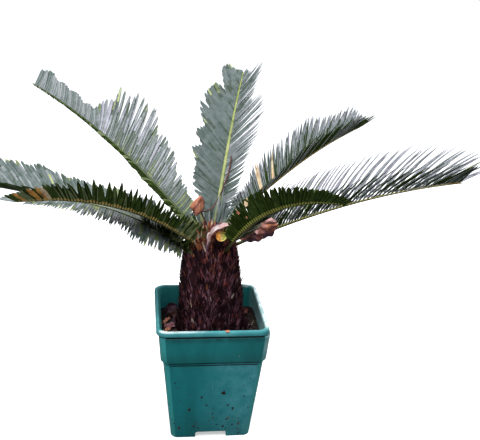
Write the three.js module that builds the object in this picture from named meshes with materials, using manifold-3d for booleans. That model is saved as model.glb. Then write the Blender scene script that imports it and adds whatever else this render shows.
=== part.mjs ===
// A sago palm in a square plastic pot.
// Millimetres, +Z up, the pot's front towards -Y. Heights are above the ground under the pot's feet.
// The pot, soil, trunk and every frond are solids of their own, GAP apart where they meet.

import * as THREE from 'three';
import { mergeVertices } from 'three/addons/utils/BufferGeometryUtils.js';
import Module from 'manifold-3d';

const wasm = await Module();
wasm.setup();

// ---- Driving sizes ----

const GAP = 0.3;

// Pot: half-widths are measured at the middle of a side. The walls stand a little right of the lip.
const POT_HEIGHT = 293.5;
const RIM_HALF = 126;
const FOOT_HALF = 92.5;
const STEP_HALF = 114;
const STEP_HEIGHT = 209;
const STEP_RISE = 4;
const COLLAR_BOTTOM_HALF = 119.5;
const COLLAR_TOP_HALF = 125;
const INNER_TOP_HALF = 116.5;
const RIM_DEPTH = 11;
const WALL_SHIFT = 4;
const POT_WALL = 3.5;
const FOOT_HEIGHT = 15;
const NOTCH_WIDTH = 72;
const BODY_CORNER = 17;
const RIM_CORNER = 22;
const CORNER_STEPS = 4;

// Soil and trunk: the trunk's axis leans from its foot to its top.
const SOIL_HEIGHT = 240;
const SOIL_EDGE_HEIGHT = 235;
const SOIL_TOP_HALF = 97;
const SOIL_TOP_CORNER = 37;
const TRUNK_BOTTOM = SOIL_HEIGHT + GAP;
const TRUNK_TOP = 458;
const TRUNK_FOOT_X = 5;
const TRUNK_TOP_X = -4;
const TRUNK_SIDES = 24;
const TRUNK_PROFILE = [
  [0, 84], [0.06, 79], [0.2, 74], [0.45, 71], [0.7, 65], [0.85, 62], [0.94, 57], [1, 49],
];
const GOLDEN_ANGLE = 137.508;

// Old leaf bases on the trunk: their feet are sunk in it, and the last stands under the top.
const BASE_COUNT = 46;
const BASE_SIZE = { length: 40, width: 24, thick: 11 };
const BASE_LEAN = 19;
const BASE_SUNK = 7;
const FIRST_BASE = TRUNK_BOTTOM + 6;
const LAST_BASE = TRUNK_TOP - 28;

// Crown: a dome of pointed scales between the frond stems.
const DOME_RADIUS = 44;
const DOME_HEIGHT = 28;
const SCALE_WIDTH = 12;
const SCALE_THICK = 5;
const SCALE_SUNK = 5;
const SCALE_RINGS = [
  { radius: 39, height: 6, lean: 38, count: 13, length: 44 },
  { radius: 24, height: 16, lean: 20, count: 7, length: 48 },
  { radius: 9, height: 22, lean: 8, count: 3, length: 46 },
];

// Fronds: angles in degrees. heading is the way a frond goes in plan, from +X towards +Y; it leaves
// the crown rising by rise, has come down by bend at its tip, and drifts sideways by sweep.
// right and left are the leaflet rows, seen from the foot with the upper face up: lift raises a row
// above the flat blade, and roll turns both rows over to the right. lean is the angle between a
// leaflet and the midrib, reach its length, each at places from 0 at the foot to 1 at the tip.
const BEND_POWER = 1.2;
const MIDRIB_STEPS = 40;
const LEAFLET_PITCH = 18;
const LAST_LEAFLET = 0.985;
const LEAFLET_WIDTH = 13;
const LEAFLET_THICK = 1.9;
const LEAFLET_CURL = 0.05;
const RIB_STEPS = 8;
const RIB_HALF_WIDTH = [[0, 7], [0.15, 5.2], [0.5, 4], [1, 1.6]];
const RIB_DEPTH = 0.8;

const FRONDS = [
  {
    name: 'frond_up_left', heading: 144, footRadius: 28, footHeight: 466, rise: 40, bend: 16,
    length: 545, sweep: 12, roll: -10, first: 0.1,
    right: {
      lift: 36,
      lean: [[0.16, 80], [0.5, 68], [0.6, 62], [0.66, 52], [0.85, 58], [0.95, 72], [1, 80]],
      reach: [
        [0.1, 36], [0.15, 49], [0.2, 60], [0.26, 72], [0.3, 93], [0.35, 112], [0.375, 100],
        [0.4, 118], [0.43, 138], [0.48, 150], [0.52, 148], [0.55, 124], [0.58, 150], [0.6, 112],
        [0.64, 72], [0.675, 46], [0.73, 42], [0.8, 51], [0.9, 51], [0.96, 60], [1, 42],
      ],
    },
    left: {
      lift: 28,
      lean: [[0.16, 75], [0.5, 60], [1, 50]],
      reach: [
        [0.16, 36], [0.3, 42], [0.37, 36], [0.45, 22], [0.55, 22], [0.66, 13], [0.75, 7], [1, 4],
      ],
    },
  },
  {
    name: 'frond_up_back', heading: 73, footRadius: 40, footHeight: 452, rise: 57, bend: 20,
    length: 455, sweep: -1, roll: 0, first: 0.05,
    right: {
      lift: 25,
      lean: [[0.14, 70], [0.5, 50], [0.9, 30], [1, 18]],
      reach: [
        [0.05, 46], [0.14, 54], [0.23, 58], [0.3, 68], [0.38, 80], [0.42, 100], [0.5, 106],
        [0.56, 116], [0.62, 112], [0.65, 98], [0.68, 64], [0.71, 74], [0.77, 84], [0.83, 97],
        [0.87, 93], [0.91, 44], [1, 16],
      ],
    },
    left: {
      lift: 25,
      lean: [[0.14, 70], [0.5, 50], [0.9, 32], [1, 20]],
      reach: [
        [0.05, 45], [0.125, 57], [0.155, 46], [0.19, 79], [0.215, 62], [0.23, 77], [0.29, 79],
        [0.335, 98], [0.39, 68], [0.42, 104], [0.475, 76], [0.53, 119], [0.575, 66], [0.59, 114],
        [0.65, 104], [0.7, 94], [0.75, 42], [0.8, 88], [0.825, 91], [0.88, 74], [0.92, 42],
        [1, 8],
      ],
    },
  },
  {
    name: 'frond_back_right', heading: 38, footRadius: 22, footHeight: 470, rise: 28, bend: 14,
    length: 520, sweep: -8, roll: 4, first: 0.14,
    right: {
      lift: 74,
      lean: [[0.2, 46], [0.45, 42], [0.7, 36], [1, 14]],
      reach: [[0.2, 30], [0.36, 42], [0.44, 72], [0.5, 84], [0.8, 90], [1, 60]],
    },
    left: {
      lift: 34,
      lean: [[0.2, 62], [0.32, 58], [0.38, 48], [0.6, 40], [0.85, 32], [1, 20]],
      reach: [
        [0.2, 44], [0.23, 50], [0.26, 58], [0.29, 76], [0.35, 88], [0.38, 104], [0.44, 110],
        [0.5, 119], [0.53, 127], [0.62, 134], [0.65, 128], [0.71, 117], [0.8, 108], [0.86, 118],
        [0.9, 98], [0.95, 66], [1, 40],
      ],
    },
  },
  {
    name: 'frond_right', heading: -2, footRadius: 32, footHeight: 437, rise: 26, bend: 18,
    length: 562, sweep: -3, roll: 0, first: 0.18,
    right: {
      lift: 60, curl: 0.2,
      lean: [[0.2, 62], [0.5, 50], [0.7, 40], [0.88, 36], [0.95, 52], [1, 64]],
      reach: [[0.2, 70], [0.45, 104], [0.6, 118], [0.8, 110], [0.9, 84], [1, 56]],
    },
    left: {
      lift: 38, droop: 0.05, curl: 0.32,
      lean: [[0.2, 64], [0.4, 60], [0.5, 57], [0.7, 50], [0.9, 38], [1, 26]],
      reach: [[0.2, 128], [0.35, 140], [0.5, 151], [0.62, 160], [0.8, 152], [0.9, 124], [1, 60]],
    },
  },
  {
    name: 'frond_front_right', heading: -54, footRadius: 38, footHeight: 428, rise: 56, bend: 50,
    length: 400, sweep: 8, roll: -22, first: 0.17,
    right: {
      lift: 32,
      lean: [[0.2, 75], [0.6, 62], [1, 30]],
      reach: [
        [0.17, 26], [0.22, 34], [0.27, 46], [0.33, 58], [0.45, 67], [0.6, 63], [0.7, 58],
        [0.85, 50], [1, 30],
      ],
    },
    left: {
      lift: 28, droop: 0.05,
      lean: [[0.2, 75], [0.6, 60], [1, 30]],
      reach: [[0.2, 62], [0.45, 60], [0.7, 40], [0.85, 22], [1, 6]],
    },
  },
  {
    name: 'frond_front_left', heading: 217, footRadius: 27, footHeight: 443, rise: 41, bend: 37,
    length: 491, sweep: -4, roll: 22, first: 0.08,
    right: {
      lift: 34,
      lean: [[0.2, 75], [0.6, 58], [1, 28]],
      reach: [[0.2, 70], [0.5, 85], [0.8, 65], [1, 40]],
    },
    left: {
      lift: 38,
      lean: [[0.16, 75], [0.6, 60], [1, 30]],
      reach: [[0.16, 50], [0.3, 60], [0.5, 70], [0.62, 80], [0.68, 80], [0.8, 58], [1, 36]],
    },
  },
  {
    name: 'frond_left_low', heading: 196, footRadius: 34, footHeight: 417, rise: 46, bend: 45,
    length: 425, sweep: 10, roll: -16, first: 0.12,
    right: {
      lift: 4,
      lean: [[0.2, 75], [0.6, 60], [1, 30]],
      reach: [[0.2, 60], [0.5, 75], [0.8, 60], [1, 35]],
    },
    left: {
      lift: 0, droop: 0.1,
      lean: [[0.12, 78], [0.6, 65], [1, 30]],
      reach: [
        [0.12, 56], [0.18, 56], [0.23, 82], [0.32, 92], [0.38, 96], [0.45, 78], [0.5, 60],
        [0.6, 58], [0.7, 48], [0.8, 39], [0.9, 28], [1, 14],
      ],
    },
  },
  {
    name: 'frond_left_back', heading: 168, footRadius: 22, footHeight: 459, rise: 16, bend: 15,
    length: 590, sweep: -6, roll: 0, first: 0.18,
    right: {
      lift: 36,
      lean: [[0.2, 72], [0.5, 55], [0.7, 42], [1, 28]],
      reach: [
        [0.2, 66], [0.3, 72], [0.4, 74], [0.45, 78], [0.5, 84], [0.56, 104], [0.65, 118],
        [0.8, 118], [1, 60],
      ],
    },
    left: {
      lift: 30,
      lean: [[0.2, 72], [0.6, 50], [1, 28]],
      reach: [[0.2, 70], [0.5, 90], [0.8, 95], [1, 50]],
    },
  },
  {
    name: 'frond_back_low', heading: 104, footRadius: 30, footHeight: 436, rise: 6, bend: 46,
    length: 380, sweep: 0, roll: 0, first: 0.2,
    right: {
      lift: 22,
      lean: [[0.2, 72], [0.6, 55], [1, 30]],
      reach: [[0.2, 50], [0.5, 70], [0.8, 62], [1, 35]],
    },
    left: {
      lift: 22,
      lean: [[0.2, 72], [0.6, 55], [1, 30]],
      reach: [[0.2, 50], [0.5, 70], [0.8, 62], [1, 35]],
    },
  },
];

// Colours
const TEAL = '#1a7a72';
const SOIL_BROWN = '#3a2a22';
const FIBRE_BROWN = '#4a2e28';
const SCALE_ORANGE = '#a4622f';
const FROND_GREEN = '#4c5f52';
const DRY_BROWN = '#a8674a';
const DRY_PINK = '#cf9d92';
const STALK_TAN = '#b0873f';

// ---- Helpers ----

const UP = new THREE.Vector3(0, 0, 1);
const radians = THREE.MathUtils.degToRad;

// The value at x of a list of [x, value] pairs, straight between them.
function along(pairs, x) {
  if (x <= pairs[0][0]) return pairs[0][1];
  for (let i = 1; i < pairs.length; i += 1) {
    const [x0, v0] = pairs[i - 1];
    const [x1, v1] = pairs[i];
    if (x <= x1) return v0 + (v1 - v0) * (x - x0) / (x1 - x0);
  }
  return pairs[pairs.length - 1][1];
}

// A closed three.js geometry as a solid, with its faces turned outwards.
function solidOf(geometry) {
  const bare = geometry.clone();
  bare.deleteAttribute('normal');
  bare.deleteAttribute('uv');
  const merged = mergeVertices(bare, 1e-4);
  const index = merged.index.array;
  const corner = [0, 1, 2].map(() => new THREE.Vector3());
  const faces = [];
  let volume = 0;
  for (let i = 0; i < index.length; i += 3) {
    const face = [index[i], index[i + 1], index[i + 2]];
    if (new Set(face).size < 3) continue;
    face.forEach((v, k) => corner[k].fromBufferAttribute(merged.attributes.position, v));
    volume += corner[0].dot(corner[1].clone().cross(corner[2]));
    faces.push(face);
  }
  if (volume < 0) faces.forEach((face) => face.reverse());
  return new wasm.Manifold(new wasm.Mesh({
    numProp: 3,
    vertProperties: new Float32Array(merged.attributes.position.array),
    triVerts: new Uint32Array(faces.flat()),
  }));
}

// Moves every vertex of a geometry to the place that move(vertex, number) gives.
function reshape(geometry, move) {
  const position = geometry.attributes.position;
  const vertex = new THREE.Vector3();
  for (let i = 0; i < position.count; i += 1) {
    vertex.fromBufferAttribute(position, i);
    const moved = move(vertex, i);
    position.setXYZ(i, moved.x, moved.y, moved.z);
  }
  return geometry;
}

function meshOf(name, solid, colour, roughness) {
  const { vertProperties, triVerts } = solid.getMesh();
  const geometry = new THREE.BufferGeometry();
  geometry.setAttribute('position', new THREE.BufferAttribute(vertProperties, 3));
  geometry.setIndex(new THREE.BufferAttribute(triVerts, 1));
  geometry.computeVertexNormals();
  const material = new THREE.MeshStandardMaterial({ color: colour, roughness, metalness: 0 });
  const mesh = new THREE.Mesh(geometry, material);
  mesh.name = name;
  return mesh;
}

// True where two solids share any space, tested by their boxes first.
function touches(one, other) {
  const a = one.boundingBox();
  const b = other.boundingBox();
  for (let k = 0; k < 3; k += 1) {
    if (a.min[k] > b.max[k] || b.min[k] > a.max[k]) return false;
  }
  return one.intersect(other).volume() > 0;
}

// The part of a solid that is largest, so that a cut leaves no loose scrap.
function largest(solid) {
  return solid.decompose().reduce((best, piece) => (piece.volume() > best.volume() ? piece : best));
}

// ---- Pot and soil ----

// A tapering body of rounded squares; each profile point is [half-width, height, corner radius].
// What lies under the lip is shifted with the walls.
function squareBody(profile) {
  const perSide = CORNER_STEPS + 1;
  const columns = 4 * perSide;
  const flat = profile.map(([half, height]) => new THREE.Vector2(half, height));
  return solidOf(reshape(new THREE.LatheGeometry(flat, columns), (vertex, number) => {
    const column = Math.floor(number / profile.length) % columns;
    const [half, height, round] = profile[number % profile.length];
    const radius = Math.min(round, half);
    const quarter = radians(90) * Math.floor(column / perSide);
    const angle = quarter + radians(90) * (column % perSide) / CORNER_STEPS;
    const centre = new THREE.Vector2(half - radius, half - radius);
    centre.rotateAround(new THREE.Vector2(), quarter);
    if (height <= POT_HEIGHT - RIM_DEPTH) centre.x += WALL_SHIFT;
    return new THREE.Vector3(
      centre.x + radius * Math.cos(angle),
      centre.y + radius * Math.sin(angle),
      height,
    );
  }));
}

function bodyHalf(height) {
  return FOOT_HALF + (STEP_HALF - FOOT_HALF) * height / STEP_HEIGHT;
}

function makePot() {
  const floor = FOOT_HEIGHT + POT_WALL;
  const collar = POT_HEIGHT - RIM_DEPTH;
  const body = squareBody([
    [0, FOOT_HEIGHT, 0],
    [FOOT_HALF - 2 * POT_WALL, FOOT_HEIGHT, BODY_CORNER - 2 * POT_WALL],
    [FOOT_HALF - 2 * POT_WALL, 0, BODY_CORNER - 2 * POT_WALL],
    [FOOT_HALF, 0, BODY_CORNER],
    [STEP_HALF, STEP_HEIGHT, BODY_CORNER],
    [COLLAR_BOTTOM_HALF, STEP_HEIGHT + STEP_RISE, BODY_CORNER + 2],
    [COLLAR_TOP_HALF, collar, BODY_CORNER + 3],
    [RIM_HALF - 0.5, collar + 1, RIM_CORNER],
    [RIM_HALF, collar + 5, RIM_CORNER],
    [RIM_HALF - 1.5, POT_HEIGHT - 1.5, RIM_CORNER],
    [RIM_HALF - 4.5, POT_HEIGHT, RIM_CORNER - 3],
    [INNER_TOP_HALF + 2, POT_HEIGHT - 1.5, RIM_CORNER - 5],
    [INNER_TOP_HALF, collar, BODY_CORNER - 1],
    [COLLAR_BOTTOM_HALF - POT_WALL, STEP_HEIGHT + STEP_RISE, BODY_CORNER - 2],
    [STEP_HALF - POT_WALL, STEP_HEIGHT, BODY_CORNER - 3],
    [bodyHalf(floor) - POT_WALL, floor, BODY_CORNER - 3],
    [0, floor, 0],
  ]);
  const notch = new THREE.BoxGeometry(NOTCH_WIDTH, 2 * RIM_HALF, 2 * FOOT_HEIGHT);
  notch.translate(WALL_SHIFT, 0, 0);
  const cross = new THREE.BoxGeometry(2 * RIM_HALF, NOTCH_WIDTH, 2 * FOOT_HEIGHT);
  return body.subtract(solidOf(notch)).subtract(solidOf(cross));
}

function makeSoil() {
  const bottom = FOOT_HEIGHT + POT_WALL + GAP;
  const inset = POT_WALL + GAP;
  return squareBody([
    [0, bottom, 0],
    [bodyHalf(bottom) - inset, bottom, BODY_CORNER - 3],
    [STEP_HALF - inset, STEP_HEIGHT, BODY_CORNER - 3],
    [COLLAR_BOTTOM_HALF - inset, STEP_HEIGHT + STEP_RISE, BODY_CORNER - 2],
    [COLLAR_BOTTOM_HALF - inset, SOIL_EDGE_HEIGHT, BODY_CORNER - 2],
    [SOIL_TOP_HALF, SOIL_HEIGHT, SOIL_TOP_CORNER],
    [0, SOIL_HEIGHT, 0],
  ]);
}

// ---- Trunk and crown ----

function trunkAxis(height) {
  const up = (height - TRUNK_BOTTOM) / (TRUNK_TOP - TRUNK_BOTTOM);
  return TRUNK_FOOT_X + (TRUNK_TOP_X - TRUNK_FOOT_X) * up;
}

function trunkRadius(height) {
  return along(TRUNK_PROFILE, (height - TRUNK_BOTTOM) / (TRUNK_TOP - TRUNK_BOTTOM));
}

// The trunk's tapering core, made larger all round by grow.
function trunkCore(grow) {
  const outline = TRUNK_PROFILE.map(([up, radius]) => (
    new THREE.Vector2(radius + grow, TRUNK_BOTTOM + up * (TRUNK_TOP - TRUNK_BOTTOM))
  ));
  outline.unshift(new THREE.Vector2(0, TRUNK_BOTTOM - grow));
  outline[1].y = TRUNK_BOTTOM - grow;
  outline[outline.length - 1].y = TRUNK_TOP + grow;
  outline.push(new THREE.Vector2(0, TRUNK_TOP + grow));
  return solidOf(reshape(new THREE.LatheGeometry(outline, TRUNK_SIDES), (v) => (
    new THREE.Vector3(v.x + trunkAxis(v.y), v.z, v.y)
  )));
}

// The dome that the crown's scales stand on.
function crownDome(grow) {
  const outline = [new THREE.Vector2(0, -grow)];
  for (let angle = 0; angle <= 90; angle += 15) {
    outline.push(new THREE.Vector2(
      Math.cos(radians(angle)) * (DOME_RADIUS + grow),
      angle === 0 ? -grow : Math.sin(radians(angle)) * (DOME_HEIGHT + grow),
    ));
  }
  outline[outline.length - 1].x = 0;
  return solidOf(reshape(new THREE.LatheGeometry(outline, TRUNK_SIDES), (v) => (
    new THREE.Vector3(v.x + TRUNK_TOP_X, v.z, v.y + TRUNK_TOP + GAP)
  )));
}

// A pointed three-sided blade from foot along way; its flat face looks towards face, and it is
// widest half-way up. bow(u) gives how far it has moved off the straight line at u of its length.
function blade(foot, way, face, size, bow = () => new THREE.Vector3()) {
  const across = new THREE.Vector3().crossVectors(way, face).normalize();
  const outward = new THREE.Vector3().crossVectors(across, way).normalize();
  return solidOf(reshape(new THREE.ConeGeometry(1, 1, 3, 2), (v) => {
    const u = v.y + 0.5;
    const half = size.width * (u < 0.25 ? 0.36 : 0.5);
    // On a three-sided cone a corner stands 1 from the axis and the opposite side 0.5.
    const rim = Math.hypot(v.x, v.z) > 1e-6 ? 1 : 0;
    const angle = Math.atan2(v.x, v.z);
    return foot.clone()
      .addScaledVector(way, u * size.length)
      .addScaledVector(across, rim * Math.sin(angle) * half / Math.sin(radians(120)))
      .addScaledVector(outward, -rim * Math.cos(angle) * size.thick / 1.5)
      .add(bow(u));
  }));
}

// The level direction at an angle from +X towards +Y.
function outwards(angle) {
  return new THREE.Vector3(Math.cos(radians(angle)), Math.sin(radians(angle)), 0);
}

// The direction that rises along out but leans by an angle from upright.
function leaning(out, angle) {
  return out.clone().multiplyScalar(Math.tan(radians(angle))).add(UP).normalize();
}

// Old leaf bases in a spiral up the trunk, each pointing up and a little out.
function trunkBases() {
  const bases = [];
  for (let i = 0; i < BASE_COUNT; i += 1) {
    const height = FIRST_BASE + (LAST_BASE - FIRST_BASE) * i / (BASE_COUNT - 1);
    const out = outwards(i * GOLDEN_ANGLE);
    const foot = out.clone().multiplyScalar(trunkRadius(height) - BASE_SUNK);
    foot.x += trunkAxis(height);
    foot.z = height;
    bases.push(blade(foot, leaning(out, BASE_LEAN), out.clone().negate(), BASE_SIZE));
  }
  return bases;
}

// Pointed scales in rings on the dome, every second one shorter.
function crownScales() {
  const scales = [];
  SCALE_RINGS.forEach((ring, number) => {
    for (let i = 0; i < ring.count; i += 1) {
      const out = outwards((i + 0.5 * (number % 2)) * 360 / ring.count);
      const foot = out.clone().multiplyScalar(ring.radius - SCALE_SUNK);
      foot.x += TRUNK_TOP_X;
      foot.z = TRUNK_TOP + GAP + ring.height - SCALE_SUNK;
      const length = ring.length * (i % 2 === 0 ? 1 : 0.8);
      const size = { length, width: SCALE_WIDTH, thick: SCALE_THICK };
      scales.push(blade(foot, leaning(out, ring.lean), out.clone().negate(), size));
    }
  });
  return scales;
}

// ---- Fronds ----

// Places along a frond's midrib, each with the ways along it, to its right and up from its blade.
function midrib(frond) {
  const places = [];
  const point = outwards(frond.heading).multiplyScalar(frond.footRadius);
  point.x += TRUNK_TOP_X;
  point.z = frond.footHeight;
  const roll = radians(frond.roll);
  let before = null;
  for (let i = 0; i <= MIDRIB_STEPS; i += 1) {
    const x = i / MIDRIB_STEPS;
    const slope = radians(frond.rise - frond.bend * x ** BEND_POWER);
    const plan = outwards(frond.heading + frond.sweep * x * x);
    const way = plan.clone().multiplyScalar(Math.cos(slope)).addScaledVector(UP, Math.sin(slope));
    const right = new THREE.Vector3().crossVectors(way, UP).normalize();
    const up = new THREE.Vector3().crossVectors(right, way);
    if (before) point.addScaledVector(before.add(way), frond.length / MIDRIB_STEPS / 2);
    places.push({
      point: point.clone(),
      way,
      right: right.clone().multiplyScalar(Math.cos(roll)).addScaledVector(up, -Math.sin(roll)),
      up: up.clone().multiplyScalar(Math.cos(roll)).addScaledVector(right, Math.sin(roll)),
    });
    before = way.clone();
  }
  return (x) => {
    const step = x * MIDRIB_STEPS;
    const low = Math.min(Math.floor(step), MIDRIB_STEPS - 1);
    const mix = (key) => places[low][key].clone().lerp(places[low + 1][key], step - low);
    return { point: mix('point'), way: mix('way').normalize(), right: mix('right'), up: mix('up') };
  };
}

// The midrib as a tapering limb, made larger all round by grow.
function rib(frond, place, grow) {
  return solidOf(reshape(new THREE.BoxGeometry(2, 1, 2, 1, RIB_STEPS, 1), (v) => {
    const x = v.y + 0.5;
    const { point, right, up, way } = place(x);
    const half = along(RIB_HALF_WIDTH, x) + grow;
    const end = grow * ((x === 1 ? 1 : 0) - (x === 0 ? 1 : 0));
    return point.addScaledVector(right, v.x * half)
      .addScaledVector(up, v.z * half * RIB_DEPTH)
      .addScaledVector(way, end);
  }));
}

// One leaflet of a row, side 1 to the right and -1 to the left, made larger all round by grow.
function leaflet(place, row, side, x, grow) {
  const { point, way, right, up } = place(x);
  const lean = radians(along(row.lean, x));
  const lift = radians(row.lift);
  const out = right.multiplyScalar(side * Math.cos(lift)).addScaledVector(up, Math.sin(lift));
  const line = way.clone().multiplyScalar(Math.cos(lean)).addScaledVector(out, Math.sin(lean));
  const face = new THREE.Vector3().crossVectors(line, way).multiplyScalar(-side);
  const reach = along(row.reach, x);
  const bow = (u) => way.clone().multiplyScalar((row.curl ?? LEAFLET_CURL) * reach * u * u)
    .addScaledVector(UP, -(row.droop ?? 0) * reach * u * u);
  const size = {
    length: reach + grow,
    width: LEAFLET_WIDTH + 2 * grow,
    thick: LEAFLET_THICK + 2 * grow,
  };
  const foot = point.addScaledVector(face.clone().normalize(), grow);
  return blade(foot, line, face, size, bow);
}

// Cuts every cutter from a solid and keeps its largest part.
function cutClear(solid, cutters) {
  return largest(cutters.reduce((rest, cutter) => rest.subtract(cutter), solid));
}

// The ribs of all fronds, each cut clear of the crown and of the ribs before it.
function makeRibs(clearance) {
  const cutters = [...clearance];
  return FRONDS.map((frond) => {
    const place = midrib(frond);
    const solid = cutClear(rib(frond, place, 0), cutters);
    cutters.push(rib(frond, place, GAP));
    return { frond, place, solid };
  });
}

// Joins leaflets to every rib wherever they are clear of all other pieces.
function addLeaflets(fronds, standing) {
  fronds.forEach((item) => {
    const { frond, place } = item;
    const others = [...standing, ...fronds.filter((other) => other !== item).map((other) => other.solid)];
    [[1, frond.right], [-1, frond.left]].forEach(([side, row]) => {
      let x = frond.first;
      while (x < LAST_LEAFLET) {
        const probe = leaflet(place, row, side, x, GAP);
        if (!others.some((other) => touches(probe, other))) {
          item.solid = item.solid.add(leaflet(place, row, side, x, 0));
        }
        x += LEAFLET_PITCH / Math.sin(radians(along(row.lean, x))) / frond.length;
      }
    });
  });
}

// ---- Dry pieces in the crown ----

// A flat strip along a smooth path, its width times taper(u) at u of its length.
function strip(path, width, thick, steps, taper = () => 1) {
  const curve = new THREE.CatmullRomCurve3(path.map((p) => new THREE.Vector3(...p)));
  return solidOf(reshape(new THREE.BoxGeometry(1, 1, 1, 1, steps, 1), (v) => {
    const u = v.y + 0.5;
    const point = curve.getPoint(u);
    const way = curve.getTangent(u);
    const across = new THREE.Vector3().crossVectors(way, new THREE.Vector3(0, -1, 0.3)).normalize();
    const outward = new THREE.Vector3().crossVectors(across, way);
    return point.addScaledVector(across, v.x * width * taper(u))
      .addScaledVector(outward, v.z * thick);
  }));
}

// A cut stalk that leans out of the crown's front.
function cutStalk() {
  const length = 54;
  const flatness = 0.85;
  const cutSlope = -0.3;
  const stalk = new THREE.CylinderGeometry(12.5, 11, length, 10, 1);
  reshape(stalk, (v) => (
    new THREE.Vector3(v.x, v.y + (v.y > 0 ? cutSlope * v.z : 0), v.z * flatness)
  ));
  const way = new THREE.Vector3(0.15, -0.62, 0.77).normalize();
  stalk.applyQuaternion(new THREE.Quaternion().setFromUnitVectors(new THREE.Vector3(0, 1, 0), way));
  stalk.translate(10, -45, 472);
  return solidOf(stalk);
}

// A pale, dry sheath that arches over the crown's front.
function drySheath() {
  const path = [
    [-18, -50, 450], [-15, -56, 470], [-12, -60, 489], [-5, -62, 505], [5, -63, 514],
    [24, -62, 519], [43, -58, 516], [56, -52, 508],
  ];
  return strip(path, 11, 3, 14, (u) => 0.75 + 0.5 * Math.sin(Math.PI * u));
}

// A curled dry leaf: a pointed oval that is cupped across and wavy along its length.
function dryLeaf({ centre, way, face, length, width, cup, wave, thick }) {
  const pointed = 0.92;
  const long = new THREE.Vector3(...way).normalize();
  const across = new THREE.Vector3().crossVectors(long, new THREE.Vector3(...face)).normalize();
  const out = new THREE.Vector3().crossVectors(across, long);
  return solidOf(reshape(new THREE.BoxGeometry(1, 1, 1, 4, 6, 1), (v) => {
    const u = v.y * 2;
    const side = v.x * 2;
    const half = width / 2 * Math.sqrt(1 - u * u * pointed);
    const rise = cup * (1 - side * side) + wave * Math.sin(Math.PI * u + side);
    return new THREE.Vector3(...centre)
      .addScaledVector(long, u * length / 2)
      .addScaledVector(across, side * half)
      .addScaledVector(out, rise + v.z * thick);
  }));
}

// The dry leaf that stands left of the upright frond, on a long thin stalk bent to the right.
function dryLeafLeft() {
  const leaf = dryLeaf({
    centre: [-32, 5, 543], way: [-0.35, 0, 1], face: [0.1, -1, 0.1],
    length: 44, width: 30, cup: 5, wave: 1.5, thick: 2.4,
  });
  const foot = [[-10, 5, 474], [-16, 4, 500], [-27, 4, 530]];
  const stalk = [
    [-29, 4, 529], [-14, 14, 523], [4, 45, 521], [20, 74, 534],
    [37, 98, 567], [49, 118, 594], [53, 134, 620],
  ];
  return leaf.add(strip(foot, 4, 4, 4)).add(strip(stalk, 3.4, 3.4, 18));
}

// The large crumpled dry leaf caught between the front right frond and the right one.
function dryLeafRight() {
  return dryLeaf({
    centre: [100, -20, 494], way: [1, 0.05, 0.4], face: [-0.1, -1, -0.35],
    length: 90, width: 66, cup: 10, wave: 4, thick: 3,
  });
}

// ---- The whole plant ----

// Joins to a core the pieces that are clear of all others.
function addClear(core, pieces, others) {
  return pieces
    .filter((piece) => !others.some((other) => touches(piece, other)))
    .reduce((solid, piece) => solid.add(piece), core);
}

const core = trunkCore(0);
const dome = crownDome(0);
const clearance = [trunkCore(GAP), crownDome(GAP)];
const fronds = makeRibs(clearance);
const cutters = [...clearance, ...fronds.map(({ frond, place }) => rib(frond, place, GAP))];

const stalk = cutClear(cutStalk(), cutters);
const sheath = cutClear(drySheath(), [...cutters, stalk]);
const leafLeft = cutClear(dryLeafLeft(), cutters);
const leafRight = cutClear(dryLeafRight(), cutters);
const dryPieces = [stalk, sheath, leafLeft, leafRight];
addLeaflets(fronds, [core, dome, ...dryPieces]);

const soil = makeSoil();
const around = [...fronds.map((item) => item.solid), ...dryPieces, soil];
const trunk = addClear(core, trunkBases(), [...around, dome]);
const crown = addClear(dome, crownScales(), [...around, trunk]);

const plant = new THREE.Group();
plant.add(meshOf('pot', makePot(), TEAL, 0.35));
plant.add(meshOf('soil', soil, SOIL_BROWN, 0.95));
plant.add(meshOf('trunk', trunk, FIBRE_BROWN, 0.9));
plant.add(meshOf('crown_scales', crown, SCALE_ORANGE, 0.85));
fronds.forEach(({ frond, solid }) => plant.add(meshOf(frond.name, solid, FROND_GREEN, 0.5)));
plant.add(meshOf('cut_stalk', stalk, STALK_TAN, 0.8));
plant.add(meshOf('dry_sheath', sheath, DRY_PINK, 0.8));
plant.add(meshOf('dry_leaf_left', leafLeft, DRY_BROWN, 0.8));
plant.add(meshOf('dry_leaf_right', leafRight, DRY_BROWN, 0.8));

// The whole stands with the middle of its box's underside at the origin.
const box = new THREE.Box3().setFromObject(plant);
const middle = box.getCenter(new THREE.Vector3());
plant.position.set(-middle.x, -middle.y, -box.min.z);

export default plant;
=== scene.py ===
# %% [markdown]
# # A sago palm in a square plastic pot
#
# A imported CAD model says where everything is: a pot, its soil, a short trunk, nine fronds and some
# dry pieces. It is in metres, with +Z up. This lesson keeps that frame and gives every part the
# surface and the fine parts of the real plant.

# %% Load the frame
import math
import random

import bmesh
import bpy
import numpy as np
from mathutils import Matrix, Vector, noise


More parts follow.
